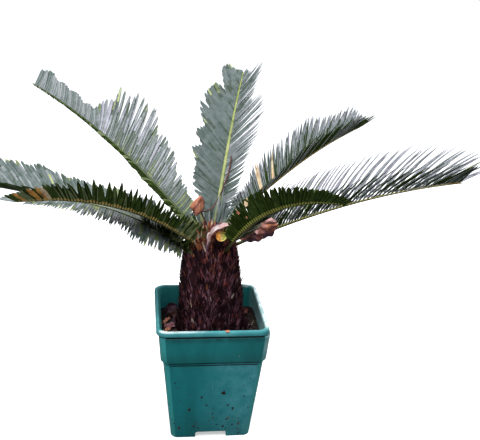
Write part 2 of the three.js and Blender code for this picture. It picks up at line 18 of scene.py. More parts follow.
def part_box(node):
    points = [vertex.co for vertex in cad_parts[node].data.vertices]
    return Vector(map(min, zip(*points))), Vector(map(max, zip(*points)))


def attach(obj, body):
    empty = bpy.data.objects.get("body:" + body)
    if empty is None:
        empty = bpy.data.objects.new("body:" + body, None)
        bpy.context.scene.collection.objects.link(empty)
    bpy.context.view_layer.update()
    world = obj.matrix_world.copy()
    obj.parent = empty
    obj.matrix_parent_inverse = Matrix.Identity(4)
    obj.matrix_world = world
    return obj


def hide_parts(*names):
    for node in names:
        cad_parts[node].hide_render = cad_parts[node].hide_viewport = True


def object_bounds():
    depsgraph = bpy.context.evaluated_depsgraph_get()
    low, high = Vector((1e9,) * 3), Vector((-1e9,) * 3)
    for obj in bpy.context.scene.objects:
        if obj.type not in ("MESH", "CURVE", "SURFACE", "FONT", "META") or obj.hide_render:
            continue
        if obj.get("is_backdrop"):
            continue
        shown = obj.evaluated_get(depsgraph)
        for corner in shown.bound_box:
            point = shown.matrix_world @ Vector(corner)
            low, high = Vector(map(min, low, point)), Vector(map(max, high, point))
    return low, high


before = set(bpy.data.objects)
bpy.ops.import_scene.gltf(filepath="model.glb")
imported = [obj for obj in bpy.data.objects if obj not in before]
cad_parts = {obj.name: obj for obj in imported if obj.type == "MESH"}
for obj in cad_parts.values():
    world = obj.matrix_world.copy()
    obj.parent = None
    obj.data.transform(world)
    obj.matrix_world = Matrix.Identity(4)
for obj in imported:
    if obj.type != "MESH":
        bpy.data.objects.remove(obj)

cad_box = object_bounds()
print("CAD nodes:", ", ".join(sorted(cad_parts)))
print("CAD box:", [[round(v, 3) for v in corner] for corner in cad_box])

# %% [markdown]
# ## One ruler for everything
#
# The plant's sizes are known in millimetres from the middle of the pot's lip, at floor level, so
# one function turns such a place into the frame's metres. The pot's own box says where that is: the
# walls bulge past the lip on the right, so the lip's left side is the mark.

# %% Turn millimetres round the pot into places in the frame
MM = 0.001
pot_low, pot_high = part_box("pot")
RIM_HALF = 126
POT_MIDDLE = Vector((pot_low.x + RIM_HALF * MM, (pot_low.y + pot_high.y) / 2, 0))


def place(x, y, z):
    return Vector((POT_MIDDLE.x + x * MM, POT_MIDDLE.y + y * MM, pot_low.z + z * MM))


print("middle of the pot:", [round(v, 4) for v in place(0, 0, 0)])

# %% [markdown]
# ## Camera
#
# The camera stands a little above the crown and looks down at the pot, tilted a few degrees as a
# hand-held one is.

# %% Set up the camera
CAMERA_PLACE = (-161, -1587, 1082)
CAMERA_HEADING, CAMERA_TILT, CAMERA_ROLL = -8.0, 70.3, 2.8
bpy.ops.object.camera_add()
camera = bpy.context.object
camera.name = "viewpoint"
camera.data.sensor_width = 36
camera.data.lens = 56.7
turn = (
    Matrix.Rotation(math.radians(CAMERA_HEADING), 4, "Z")
    @ Matrix.Rotation(math.radians(CAMERA_TILT), 4, "X")
    @ Matrix.Rotation(math.radians(CAMERA_ROLL), 4, "Z")
)
camera.matrix_world = Matrix.Translation(place(*CAMERA_PLACE)) @ turn
bpy.context.scene.camera = camera
bpy.context.scene.view_settings.view_transform = "Standard"
print("camera at", [round(v, 3) for v in camera.matrix_world.translation])

# %% [markdown]
# ## Helpers for nodes and pieces
#
# Shader nodes are added by one short helper, which sets an input or links it, whichever it is given.
# Every finished mesh goes through `dress`, so that it rides on the plant's only body and hides the
# CAD node that it stands for.

# %% Helpers for shader nodes
def add_node(tree, kind, inputs=None, **settings):
    """A new node with its settings, whose inputs are set to a value or linked to a socket."""
    made = tree.nodes.new(kind)
    for name, value in settings.items():
        setattr(made, name, value)
    for name, value in (inputs or {}).items():
        if isinstance(value, bpy.types.NodeSocket):
            tree.links.new(value, made.inputs[name])
        else:
            made.inputs[name].default_value = value
    return made


def calculate(tree, operation, first, second):
    """The result of one sum on two numbers or sockets."""
    made = add_node(tree, "ShaderNodeMath", {0: first, 1: second}, operation=operation)
    return made.outputs[0]


def mix_colour(tree, share, first, second):
    """A mix of two colours; 6, 7 and 2 are the Mix node's colour sockets."""
    made = add_node(tree, "ShaderNodeMix", {0: share, 6: first, 7: second}, data_type="RGBA")
    return made.outputs[2]


def between(tree, value, low, high, to_low=0.0, to_high=1.0):
    """Value from low..high carried over to to_low..to_high, and held at both ends."""
    inputs = {"Value": value, "From Min": low, "From Max": high, "To Min": to_low, "To Max": to_high}
    return add_node(tree, "ShaderNodeMapRange", inputs).outputs["Result"]


# %% Helpers for modelling one piece
def choose(piece):
    """Selects one piece alone, in object mode."""
    if bpy.context.object and bpy.context.object.mode != "OBJECT":
        bpy.ops.object.mode_set(mode="OBJECT")
    bpy.ops.object.select_all(action="DESELECT")
    piece.select_set(True)
    bpy.context.view_layer.objects.active = piece


def pick(piece, kind, test):
    """In edit mode, selects the VERT, EDGE or FACE elements that test accepts."""
    bpy.ops.mesh.select_mode(type=kind)
    bpy.ops.mesh.select_all(action="DESELECT")
    shape = bmesh.from_edit_mesh(piece.data)
    elements = {"VERT": shape.verts, "EDGE": shape.edges, "FACE": shape.faces}[kind]
    for element in elements:
        if test(element):
            element.select_set(True)
    bmesh.update_edit_mesh(piece.data)


def middle_of(element):
    """The mean of an edge's or face's corners."""
    return sum((v.co for v in element.verts), Vector()) / len(element.verts)


def stack(rings):
    """Extrudes the selection from ring to ring; each is its half-width, middle x and height."""
    for (half, x, low), (next_half, next_x, high) in zip(rings, rings[1:]):
        shift = ((next_x - x) * MM, 0, (high - low) * MM)
        bpy.ops.mesh.extrude_region_move(TRANSFORM_OT_translate={"value": shift})
        ratio = next_half / half
        bpy.ops.transform.resize(value=(ratio, ratio, 1), center_override=place(next_x, 0, high))


def face_outwards(piece):
    """Turns all faces of a closed piece outwards, and leaves it in object mode."""
    bpy.context.view_layer.objects.active = piece
    bpy.ops.object.mode_set(mode="EDIT")
    bpy.ops.mesh.select_all(action="SELECT")
    bpy.ops.mesh.normals_make_consistent(inside=False)
    bpy.ops.object.mode_set(mode="OBJECT")


def apply_modifier(piece, kind, **settings):
    """Adds one modifier with its settings and applies it."""
    bpy.context.view_layer.objects.active = piece
    modifier = piece.modifiers.new(kind.lower(), kind)
    for name, value in settings.items():
        setattr(modifier, name, value)
    bpy.ops.object.modifier_apply(modifier=modifier.name)


def roughen(piece, name, size, strength, mid_level, **settings):
    """Moves a surface in and out by clouds of a size; size and strength are in millimetres."""
    clouds = bpy.data.textures.new(name, "CLOUDS")
    clouds.noise_scale = size * MM
    apply_modifier(
        piece, "DISPLACE", texture=clouds, strength=strength * MM, mid_level=mid_level, **settings
    )


# %% Helpers for finishing a piece
def settle(piece):
    """Puts a piece's place, turn and scale into its mesh."""
    choose(piece)
    bpy.ops.object.transform_apply(location=True, rotation=True, scale=True)


def paint(piece, finishes):
    """Gives a piece the materials with these names, in this order."""
    for name in finishes:
        piece.data.materials.append(bpy.data.materials[name])


def dress(piece, nodes, smooth_angle=40):
    """Finishes a piece: its shading, its body and the CAD nodes it stands for."""
    choose(piece)
    bpy.ops.object.shade_smooth_by_angle(angle=math.radians(smooth_angle))
    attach(piece, "root")
    if nodes:
        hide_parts(*nodes)
    triangles = sum(len(p.vertices) - 2 for p in piece.data.polygons)
    print(f"{piece.name}: {triangles} triangles")


class Pile:
    """Gathers many small shapes of one kind, to be joined in one mesh."""

    def __init__(self):
        self.points = []
        self.faces = []
        self.finishes = []
        self.count = 0

    def add(self, points, faces, finish):
        """Adds a shape, with the name of its finish or a list of one name per face."""
        self.points.append(points)
        self.faces.extend([[i + self.count for i in face] for face in faces])
        self.finishes.extend(finish if isinstance(finish, list) else [finish] * len(faces))
        self.count += len(points)

    def piece(self, name, finishes):
        """The pile as one object, carried from millimetres into the frame."""
        mesh = bpy.data.meshes.new(name)
        points = np.concatenate(self.points) * MM + np.array(place(0, 0, 0))
        mesh.from_pydata(points.tolist(), [], self.faces)
        made = bpy.data.objects.new(name, mesh)
        bpy.context.scene.collection.objects.link(made)
        paint(made, finishes)
        numbers = {finish: number for number, finish in enumerate(finishes)}
        mesh.polygons.foreach_set("material_index", [numbers[finish] for finish in self.finishes])
        mesh.update()
        return made


# %% [markdown]
# ## Two shared effects: mottle and grain
#
# Nothing on a plant or an old pot has one even colour. The mottle group lays lighter and darker
# patches over a base colour, and the grain group gives a height for bumps. Both read Object
# coordinates with a stretch, so the same group gives round stains, long fibres or leaf streaks.

# %% Build the mottle group
def new_group(name, inputs, outputs):
    """An empty shader group; inputs and outputs are (name, socket kind, start value)."""
    group = bpy.data.node_groups.new(name, "ShaderNodeTree")
    for way, sockets in (("INPUT", inputs), ("OUTPUT", outputs)):
        for socket_name, kind, start in sockets:
            made = group.interface.new_socket(socket_name, in_out=way, socket_type=kind)
            if start is not None:
                made.default_value = start
    return group, group.nodes.new("NodeGroupInput"), group.nodes.new("NodeGroupOutput")


COLOUR, NUMBER, VECTOR = "NodeSocketColor", "NodeSocketFloat", "NodeSocketVector"
GREY = (0.5, 0.5, 0.5, 1)

def stretched_noise(tree, given, **settings):
    """A noise over Object coordinates, which the group's own Stretch and Scale pull out."""
    spot = add_node(tree, "ShaderNodeTexCoord").outputs["Object"]
    stretched = add_node(
        tree, "ShaderNodeVectorMath", {0: spot, 1: given.outputs["Stretch"]}, operation="MULTIPLY"
    ).outputs[0]
    inputs = {"Vector": stretched, "Scale": given.outputs["Scale"], **settings}
    return add_node(tree, "ShaderNodeTexNoise", inputs).outputs["Fac"]


mottle, given, result = new_group(
    "mottle",
    [
        ("Base", COLOUR, GREY),
        ("Light", COLOUR, GREY),
        ("Dark", COLOUR, GREY),
        ("Scale", NUMBER, 20.0),
        ("Stretch", VECTOR, (1, 1, 1)),
        ("Amount", NUMBER, 1.0),
    ],
    [("Color", COLOUR, None), ("Mask", NUMBER, None)],
)
clouds = stretched_noise(mottle, given, Detail=4.0, Roughness=0.6)
amount = given.outputs["Amount"]
light_share = calculate(mottle, "MULTIPLY", between(mottle, clouds, 0.5, 0.72), amount)
dark_share = calculate(mottle, "MULTIPLY", between(mottle, clouds, 0.48, 0.28), amount)
lit = mix_colour(mottle, light_share, given.outputs["Base"], given.outputs["Light"])
toned = mix_colour(mottle, dark_share, lit, given.outputs["Dark"])
mottle.links.new(toned, result.inputs["Color"])
mottle.links.new(clouds, result.inputs["Mask"])
print("group", mottle.name, "gives", [s.name for s in result.inputs if s.name])

# %% Build the grain group
grain, given, result = new_group(
    "grain",
    [("Scale", NUMBER, 200.0), ("Stretch", VECTOR, (1, 1, 1))],
    [("Height", NUMBER, None)],
)
rough_height = stretched_noise(grain, given, Detail=3.0)
grain.links.new(rough_height, result.inputs["Height"])
print("group", grain.name, "gives", [s.name for s in result.inputs if s.name])


# %% Make a material from the two groups
def colour(red, green, blue):
    """An opaque colour."""
    return (red, green, blue, 1)


def finish(
    name, base, light, dark, scale, stretch=(1, 1, 1), amount=0.8,
    shine=(0.45, 0.6), gloss=0.25, grain_scale=300, bump=0.3, bump_depth=0.0006,
):
    """A material of three near colours in patches, with shine from smooth to rough."""
    material = bpy.data.materials.new(name)
    material.use_nodes = True
    tree = material.node_tree
    shader = tree.nodes["Principled BSDF"]
    tones = {"Base": colour(*base), "Light": colour(*light), "Dark": colour(*dark)}
    pattern = {"Scale": scale, "Stretch": stretch, "Amount": amount}
    patches = add_node(tree, "ShaderNodeGroup", {**tones, **pattern}, node_tree=mottle)
    tree.links.new(patches.outputs["Color"], shader.inputs["Base Color"])
    roughness = between(tree, patches.outputs["Mask"], 0.35, 0.65, shine[0], shine[1])
    tree.links.new(roughness, shader.inputs["Roughness"])
    shader.inputs["Specular IOR Level"].default_value = gloss
    relief = add_node(
        tree, "ShaderNodeGroup", {"Scale": grain_scale, "Stretch": stretch}, node_tree=grain
    )
    bumps = {"Height": relief.outputs["Height"], "Strength": bump, "Distance": bump_depth}
    raised = add_node(tree, "ShaderNodeBump", bumps)
    tree.links.new(raised.outputs["Normal"], shader.inputs["Normal"])
    return material


# %% Mix the plain finishes
# What the finishes of one family share. A finish starts with its family's name.
FAMILIES = {
    "soil": {"scale": 60, "shine": (0.8, 0.95), "grain_scale": 500, "bump": 0.8},
    "fibre": {"scale": 55, "stretch": (1, 1, 0.25), "shine": (0.5, 0.75), "bump": 0.5},
    "leaf": {"scale": 60, "shine": (0.35, 0.5), "bump": 0.15},
    "rib": {"scale": 40, "shine": (0.32, 0.45), "bump": 0.2},
    "comb": {"scale": 50, "shine": (0.4, 0.55), "bump": 0.2},
    "dry": {"scale": 45, "shine": (0.4, 0.6), "bump": 0.5},
    "stalk": {"scale": 60, "shine": (0.35, 0.5), "bump": 0.3},
}
# The base, light and dark tone of each finish, and the settings that are its own.
FINISHES = {
    "soil_crumb": ((0.020, 0.013, 0.011), (0.055, 0.036, 0.027), (0.008, 0.005, 0.005), {}),
    "fibre_dark": (
        (0.015, 0.004, 0.006), (0.055, 0.020, 0.027), (0.003, 0.001, 0.001),
        {"shine": (0.7, 0.9), "gloss": 0.1, "bump": 0.6},
    ),
    # Mauve fibres are partly their own purple-brown and partly painted highlight, where fibres catch the
    # light.
    "fibre_mauve": ((0.175, 0.072, 0.100), (0.42, 0.22, 0.29), (0.036, 0.012, 0.018), {"gloss": 0.2}),
    "fibre_red": (
        (0.17, 0.036, 0.032), (0.38, 0.12, 0.10), (0.040, 0.008, 0.008),
        {"shine": (0.55, 0.75), "gloss": 0.18},
    ),
    "fibre_orange": (
        (0.40, 0.13, 0.05), (0.62, 0.28, 0.13), (0.16, 0.045, 0.012),
        {"scale": 50, "stretch": (1, 1, 0.3), "shine": (0.5, 0.7)},
    ),
    "fibre_pale": (
        (0.50, 0.40, 0.30), (0.72, 0.66, 0.55), (0.25, 0.17, 0.11),
        {"scale": 50, "stretch": (1, 1, 0.3), "shine": (0.5, 0.7), "bump": 0.4},
    ),
    # The silver and lilac finishes are painted sheen: the glossy upper sides' reflection of the bright
    # sky, put into the base colour.
    "leaf_silver": (
        (0.186, 0.205, 0.211), (0.285, 0.298, 0.322), (0.105, 0.124, 0.118),
        {"scale": 70, "shine": (0.3, 0.42)},
    ),
    "leaf_lilac": (
        (0.277, 0.277, 0.323), (0.409, 0.403, 0.462), (0.158, 0.165, 0.185),
        {"scale": 70, "shine": (0.28, 0.4)},
    ),
    "leaf_sage": (
        (0.097, 0.126, 0.119), (0.158, 0.187, 0.180), (0.054, 0.076, 0.061), {"shine": (0.32, 0.46)},
    ),
    # Dusk and deep are darker copies of sage and green: partly the leaflets' own dark green, and painted
    # shade where they are dealt to inner zones, edges and under sides.
    "leaf_dusk": (
        (0.052, 0.076, 0.056), (0.096, 0.124, 0.104), (0.024, 0.038, 0.024), {"shine": (0.32, 0.46)},
    ),
    "leaf_green": (
        (0.036, 0.066, 0.008), (0.085, 0.130, 0.026), (0.013, 0.026, 0.002),
        {"shine": (0.45, 0.6), "gloss": 0.12},
    ),
    "leaf_deep": (
        (0.014, 0.029, 0.001), (0.036, 0.060, 0.006), (0.005, 0.010, 0.000),
        {"shine": (0.5, 0.65), "gloss": 0.08},
    ),
    "leaf_moss": ((0.150, 0.188, 0.075), (0.255, 0.285, 0.150), (0.068, 0.090, 0.030), {}),
    "leaf_lime": ((0.336, 0.376, 0.160), (0.496, 0.512, 0.304), (0.160, 0.200, 0.064), {}),
    "leaf_straw": (
        (0.62, 0.46, 0.28), (0.80, 0.70, 0.52), (0.36, 0.22, 0.10), {"shine": (0.5, 0.65), "bump": 0.3},
    ),
    "leaf_rust": (
        (0.62, 0.27, 0.05), (0.80, 0.50, 0.15), (0.20, 0.07, 0.01), {"shine": (0.45, 0.6), "bump": 0.3},
    ),
    "rib_lime": ((0.240, 0.280, 0.080), (0.400, 0.416, 0.176), (0.096, 0.120, 0.032), {}),
    "rib_sage": ((0.17, 0.20, 0.12), (0.28, 0.31, 0.22), (0.08, 0.10, 0.05), {}),
    "rib_dark": ((0.05, 0.07, 0.02), (0.12, 0.14, 0.05), (0.02, 0.03, 0.01), {}),
    "rib_under": (
        (0.055, 0.06, 0.015), (0.20, 0.17, 0.05), (0.018, 0.018, 0.006), {"shine": (0.35, 0.5)},
    ),
    "comb_yellow": ((0.50, 0.36, 0.10), (0.70, 0.56, 0.24), (0.26, 0.15, 0.04), {}),
    "comb_lime": ((0.33, 0.34, 0.06), (0.52, 0.52, 0.16), (0.14, 0.14, 0.02), {}),
    "dry_brown": ((0.20, 0.062, 0.052), (0.42, 0.20, 0.16), (0.05, 0.014, 0.010), {"bump": 0.8}),
    "dry_orange": ((0.50, 0.19, 0.11), (0.66, 0.33, 0.22), (0.24, 0.075, 0.04), {"shine": (0.45, 0.6)}),
    "dry_pink": (
        (0.60, 0.34, 0.32), (0.85, 0.70, 0.72), (0.28, 0.12, 0.11),
        {"scale": 40, "shine": (0.35, 0.5), "bump": 0.4},
    ),
    "dry_white": (
        (0.78, 0.68, 0.66), (0.92, 0.88, 0.88), (0.52, 0.36, 0.32),
        {"scale": 40, "shine": (0.35, 0.5), "bump": 0.4},
    ),
    "dry_rose": ((0.40, 0.16, 0.19), (0.62, 0.36, 0.40), (0.16, 0.05, 0.06), {"shine": (0.4, 0.55)}),
    "dry_yellow": ((0.62, 0.36, 0.09), (0.82, 0.62, 0.24), (0.34, 0.12, 0.03), {}),
    "dry_mauve": (
        (0.10, 0.045, 0.07), (0.28, 0.15, 0.20), (0.03, 0.012, 0.02),
        {"scale": 40, "shine": (0.35, 0.5), "bump": 0.4},
    ),
    "stalk_maroon": ((0.075, 0.022, 0.018), (0.20, 0.08, 0.06), (0.02, 0.006, 0.005), {}),
}
for name, (base, light, dark, own) in FINISHES.items():
    family = FAMILIES[name.split("_")[0]]
    finish(name, base, light, dark, **{**family, **own})
print("materials:", len(bpy.data.materials))


# %% [markdown]
# ## Light and floor
#
# An overcast sky is bright overhead and dim near the ground, which leaves the undersides of the
# leaflets dark. The camera itself sees plain white behind the plant. The floor is pale, and it
# throws little light back up, as the dark ground of a garden does.

# %% Light the scene as an overcast day does
sky = bpy.data.worlds.new("overcast_sky")
sky.use_nodes = True
tree = sky.node_tree
upwards = add_node(
    tree,
    "ShaderNodeSeparateXYZ",
    {0: add_node(tree, "ShaderNodeTexCoord").outputs["Generated"]},
).outputs["Z"]
sky_colour = mix_colour(
    tree, between(tree, upwards, -0.1, 0.9), colour(0.10, 0.11, 0.12), colour(1.0, 1.04, 1.1)
)
sky_light = tree.nodes["Background"]
tree.links.new(sky_colour, sky_light.inputs["Color"])
sky_light.inputs["Strength"].default_value = 1.0
backdrop = add_node(tree, "ShaderNodeBackground", {"Color": colour(1, 1, 1), "Strength": 1.0})
seen = add_node(tree, "ShaderNodeLightPath").outputs["Is Camera Ray"]
chosen_sky = add_node(
    tree,
    "ShaderNodeMixShader",
    {0: seen, 1: sky_light.outputs[0], 2: backdrop.outputs[0]},
)
tree.links.new(chosen_sky.outputs[0], tree.nodes["World Output"].inputs["Surface"])
bpy.context.scene.world = sky


def soft_lamp(name, spot, aim, size, power):
    """A large square lamp at spot that faces aim."""
    bpy.ops.object.light_add(type="AREA", location=spot)
    lamp = bpy.context.object
    lamp.name = name
    lamp.data.size = size
    lamp.data.energy = power
    lamp.rotation_mode = "QUATERNION"
    lamp.rotation_quaternion = (aim - spot).to_track_quat("-Z", "Y")
    return lamp


crown_spot = place(0, 0, 480)
soft_lamp("high_soft_lamp", place(-700, -900, 2500), crown_spot, 1.6, 70)
soft_lamp("back_soft_lamp", place(900, 1500, 2100), crown_spot, 1.6, 35)

# %% Lay the pale floor
bpy.ops.mesh.primitive_plane_add(size=12, location=place(0, 0, 0))
floor = bpy.context.object
floor.name = "pale_floor"
floor_paint = bpy.data.materials.new("floor_paint")
floor_paint.use_nodes = True
tree = floor_paint.node_tree
shader = tree.nodes["Principled BSDF"]
seen = add_node(tree, "ShaderNodeLightPath").outputs["Is Camera Ray"]
floor_colour = mix_colour(tree, seen, colour(0.16, 0.16, 0.16), colour(0.9, 0.9, 0.9))
tree.links.new(floor_colour, shader.inputs["Base Color"])
shader.inputs["Roughness"].default_value = 0.9
shader.inputs["Emission Color"].default_value = colour(1, 1, 1)
tree.links.new(between(tree, seen, 0, 1, 0, 0.45), shader.inputs["Emission Strength"])
paint(floor, ["floor_paint"])
floor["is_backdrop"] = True

# %% [markdown]
# ## Vector helpers
#
# The plant's fine parts all grow by rule from a few directions. So the lesson needs a unit vector,
# a level direction by its compass angle, a direction that leans, and places beside an upright axis.
# Fibres, scales and shoots are all one pointed blade, and their finishes are dealt by chance.

# %% Directions and places
UP = np.array([0.0, 0.0, 1.0])
GOLDEN_ANGLE = 137.508


def unit(vector):
    return np.asarray(vector, float) / np.linalg.norm(vector)


def outwards(angle):
    """The level direction at an angle in degrees from +X towards +Y."""
    return np.array([math.cos(math.radians(angle)), math.sin(math.radians(angle)), 0.0])


def leaning(out, angle):
    """The direction that leans by an angle from upright, towards out."""
    return unit(out * math.tan(math.radians(angle)) + UP)


def beside(axis_x, out, radius, height):
    """The place at a radius and a height, in the direction out from an upright axis."""
    return out * radius + np.array([axis_x, 0.0, height])


def along(pairs, x):
    """The value at x of a list of [x, value] pairs, straight between them."""
    return float(np.interp(x, [p[0] for p in pairs], [p[1] for p in pairs]))


def deal(dice, shares):
    """One name from a {name: share} table, by chance."""
    return dice.choices(list(shares), weights=list(shares.values()))[0]


print("30 degrees from upright towards +X:", leaning(outwards(0), 30).round(3))

# %% A pointed blade
def ring_faces(rings, around):
    """The faces that join each ring of points to the next one."""
    faces = []
    for low in range(0, (rings - 1) * around, around):
        for k in range(around):
            after = (k + 1) % around
            faces.append([low + k, low + after, low + around + after, low + around + k])
    return faces


def blade(foot, way, face, length, width, thick, curl=0.0, sides=4, belly=0.35):
    """A pointed blade with a lens-shaped section; curl bends its tip towards face."""
    across = unit(np.cross(way, face))
    out = np.cross(across, way)
    rings = ((0.0, 0.7), (belly, 1.0), (0.5 + belly / 2, 0.72), (0.88, 0.32))
    points = []
    for share, full in rings:
        middle = foot + way * length * share + out * curl * length * share * share
        for k in range(sides):
            turned = math.tau * k / sides
            points.append(
                middle
                + across * math.cos(turned) * width / 2 * full
                + out * math.sin(turned) * thick / 2 * full
            )
    points.append(foot + way * length + out * curl * length)
    tip = len(points) - 1
    last = tip - sides
    faces = [list(range(sides))] + [face[::-1] for face in ring_faces(len(rings), sides)]
    faces += [[last + (k + 1) % sides, last + k, tip] for k in range(sides)]
    return np.array(points), faces


print("faces on one blade:", len(blade(UP * 0, UP, outwards(0), 10, 2, 1)[1]))

# %% [markdown]
# ## The pot's plastic
#
# The pot is moulded from teal plastic. Outdoors it takes dust on the walls, bleaches along the lip
# and gets fine spatter low down. Light and shade are painted into it too: highlights on the lip and
# under the ledge, sunlight on the inner wall, which is a paler copy of the teal, and shade on the
# collar under the lip and in the grooves. One function makes all five finishes: a mottle of near
# teals, a second tone dealt by place for wear and painted light and shade, and spatter on top.

# %% Share out wear by place
def patch_share(tree, spot, patches):
    """The strongest of some patches, from 0 to 1, at a spot.

    A patch gives, for an axis, the place in millimetres where it starts and where it is full.
    """
    strongest = 0.0
    for patch in patches:
        share = 1.0
        for axis, ends in patch.items():
            start, full = (place(end, end, end)["XYZ".index(axis)] for end in ends)
            ramp = between(tree, spot.outputs[axis], start, full)
            share = calculate(tree, "MULTIPLY", share, ramp)
        strongest = calculate(tree, "MAXIMUM", strongest, share)
    return strongest


print("place 100 mm right of the pot's middle:", round(place(100, 0, 0).x, 4))

# %% Paint the teal plastic, with wear and painted light and shade
SPATTER_TOP, SPATTER_BOTTOM = 190, 10
SPATTER_SHARE = 0.16


def spattered(tree, coordinates, haze, patched):
    """A colour with fine drops, more of them low down.

    The drops are cells of a Voronoi pattern, bent out of round; only a few cells hold one.
    """
    bend = {0: haze.outputs["Color"], 1: (0.012, 0.012, 0.012), 2: coordinates}
    bent = add_node(tree, "ShaderNodeVectorMath", bend, operation="MULTIPLY_ADD").outputs[0]
    cells = add_node(
        tree, "ShaderNodeTexVoronoi", {"Vector": bent, "Scale": 130.0, "Randomness": 1.0}
    )
    chosen = add_node(tree, "ShaderNodeSeparateColor", {0: cells.outputs["Color"]}).outputs[0]
    top, bottom = place(0, 0, SPATTER_TOP).z, place(0, 0, SPATTER_BOTTOM).z
    height = add_node(tree, "ShaderNodeSeparateXYZ", {0: coordinates}).outputs["Z"]
    low_down = between(tree, height, top, bottom, 0.01, SPATTER_SHARE)
    dealt = calculate(tree, "LESS_THAN", chosen, low_down)
    near = between(tree, cells.outputs["Distance"], 0.36, 0.18, 0.0, 0.7)
    splash = calculate(tree, "MULTIPLY", near, dealt)
    return mix_colour(tree, splash, patched, colour(0.020, 0.030, 0.028))


def plastic(name, base, light, dark, patch_tone, patches):
    """Moulded plastic that turns to a second tone in some patches, for wear and painted light and shade,
    with spatter low down.
    """
    material = finish(
        name, base, light, dark, 14, (1, 1, 0.35), amount=0.7,
        shine=(0.38, 0.52), gloss=0.3, grain_scale=900, bump=0.10, bump_depth=0.0003,
    )
    tree = material.node_tree
    shader = tree.nodes["Principled BSDF"]
    clean = shader.inputs["Base Color"].links[0].from_socket
    coordinates = add_node(tree, "ShaderNodeTexCoord").outputs["Object"]
    spot = add_node(tree, "ShaderNodeSeparateXYZ", {0: coordinates})
    haze = add_node(
        tree, "ShaderNodeTexNoise", {"Vector": coordinates, "Scale": 55.0, "Detail": 6.0}
    )
    cloudy = between(tree, haze.outputs["Fac"], 0.36, 0.64, 0.35, 1.0)
    share = calculate(tree, "MULTIPLY", patch_share(tree, spot, patches), cloudy)
    patched = mix_colour(tree, share, clean, colour(*patch_tone))
    tree.links.new(spattered(tree, coordinates, haze, patched), shader.inputs["Base Color"])


# %% Mix the pot's five plastics
plastic(
    "pot_teal", (0.003, 0.175, 0.190), (0.012, 0.250, 0.275), (0.002, 0.110, 0.118),
    patch_tone=(0.070, 0.320, 0.360),
    # The first patch is dust, on the right and low down; the second is a painted highlight on the wall
    # just under the ledge.
    patches=[{"X": (-40, 100), "Z": (206, 190)}, {"X": (-30, 30), "Z": (174, 194)}],
)
# The collar is a little darker than the walls, and its second tone is painted shade just under the lip.
plastic(
    "pot_collar_shaded", (0.003, 0.150, 0.156), (0.014, 0.225, 0.240), (0.002, 0.090, 0.094),
    patch_tone=(0.001, 0.044, 0.046), patches=[{"Z": (262, 277)}],
)
# The grooves' plastic is painted shade: a dark teal where the recesses lie in shadow.
plastic(
    "pot_groove_shaded", (0.001, 0.030, 0.034), (0.004, 0.060, 0.066), (0.001, 0.012, 0.014),
    patch_tone=(0.02, 0.05, 0.05), patches=[{"X": (-60, 80)}],
)
# The inner wall is a paler copy of the teal, which paints light into the pot; its right side, where the
# sun falls, is paler still, as painted sunlight and some bleaching.
plastic(
    "pot_inside_lit", (0.028, 0.300, 0.300), (0.070, 0.380, 0.380), (0.014, 0.190, 0.190),
    patch_tone=(0.30, 0.47, 0.48), patches=[{"X": (108, 120)}],
)
# The lip's plastic is lighter than the walls; its pale patches on the right side, the back right and the
# front's top edge are bleaching and painted highlights where the sun glares on the lip.
plastic(
    "pot_lip_faded", (0.045, 0.26, 0.28), (0.11, 0.40, 0.42), (0.018, 0.16, 0.17),
    patch_tone=(0.78, 0.93, 0.93),
    patches=[
        {"X": (112, 119), "Y": (-116, -96)}, {"X": (60, 105), "Y": (110, 119)},
        {"X": (0, -90), "Y": (-112, -118), "Z": (290.0, 292.6)},
    ],
)
POT_FINISHES = ["pot_teal", "pot_groove_shaded", "pot_inside_lit", "pot_lip_faded", "pot_collar_shaded"]
print("plastics:", ", ".join(POT_FINISHES))

# %% [markdown]
# ## The pot's shape
#
# A square pot is a stack of rounded squares. It starts as one flat square whose corners are
# bevelled. Extrude and resize then carry that outline up the outer wall, over the rolled lip and
# down the inner wall to the floor. Working on one closed surface keeps the wall's thickness true.

# %% Stack the pot's outline
POT_CORNER = 17
WALL_SHIFT = 4
# Half-width and height of the outline at each turn of the wall, from the foot round to the floor.
POT_OUTLINE = [
    (92.5, 0), (102.2, 94), (112.9, 198), (113.3, 201.4), (111.3, 202.2), (111.2, 204.6),
    (114.8, 205.4), (115.1, 208.0), (112.6, 208.8), (112.6, 211.2), (118.4, 212.0),
    (119.3, 213.6), (121.9, 244), (124.3, 273), (124.5, 275.8), (123.6, 276.8), (119.8, 277.4),
    (119.6, 280.4), (124.2, 280.8), (125.5, 281.6), (126, 283.2), (126, 287.6), (125.4, 290.6),
    (123.6, 292.7), (121.2, 293.5), (118.8, 292.9), (117.2, 290.9), (116.5, 287.5), (116.4, 274),
    (115.8, 213), (109.2, 209), (90.6, 18.5),
]
# The outline's first rings run up the outer wall. All that is below the lip's foot is shifted.
OUTER_RINGS = 23
LIP_FOOT = 281.2

bpy.ops.mesh.primitive_plane_add(size=2 * POT_OUTLINE[0][0] * MM, location=place(0, 0, 0))
pot = bpy.context.object
pot.name = "pot_shell"
settle(pot)
bpy.ops.object.mode_set(mode="EDIT")
bpy.ops.mesh.select_all(action="SELECT")
bpy.ops.mesh.bevel(offset=POT_CORNER * MM, segments=8, affect="VERTICES")
bpy.ops.mesh.select_mode(type="FACE")
bpy.ops.mesh.select_all(action="SELECT")
stack([(half, 0, height) for half, height in POT_OUTLINE])
under_lip = place(0, 0, LIP_FOOT).z
pick(pot, "VERT", lambda v: v.co.z < under_lip)
bpy.ops.transform.translate(value=(WALL_SHIFT * MM, 0, 0))
face_outwards(pot)
print("pot outline:", len(POT_OUTLINE), "rings,", len(pot.data.polygons), "faces")

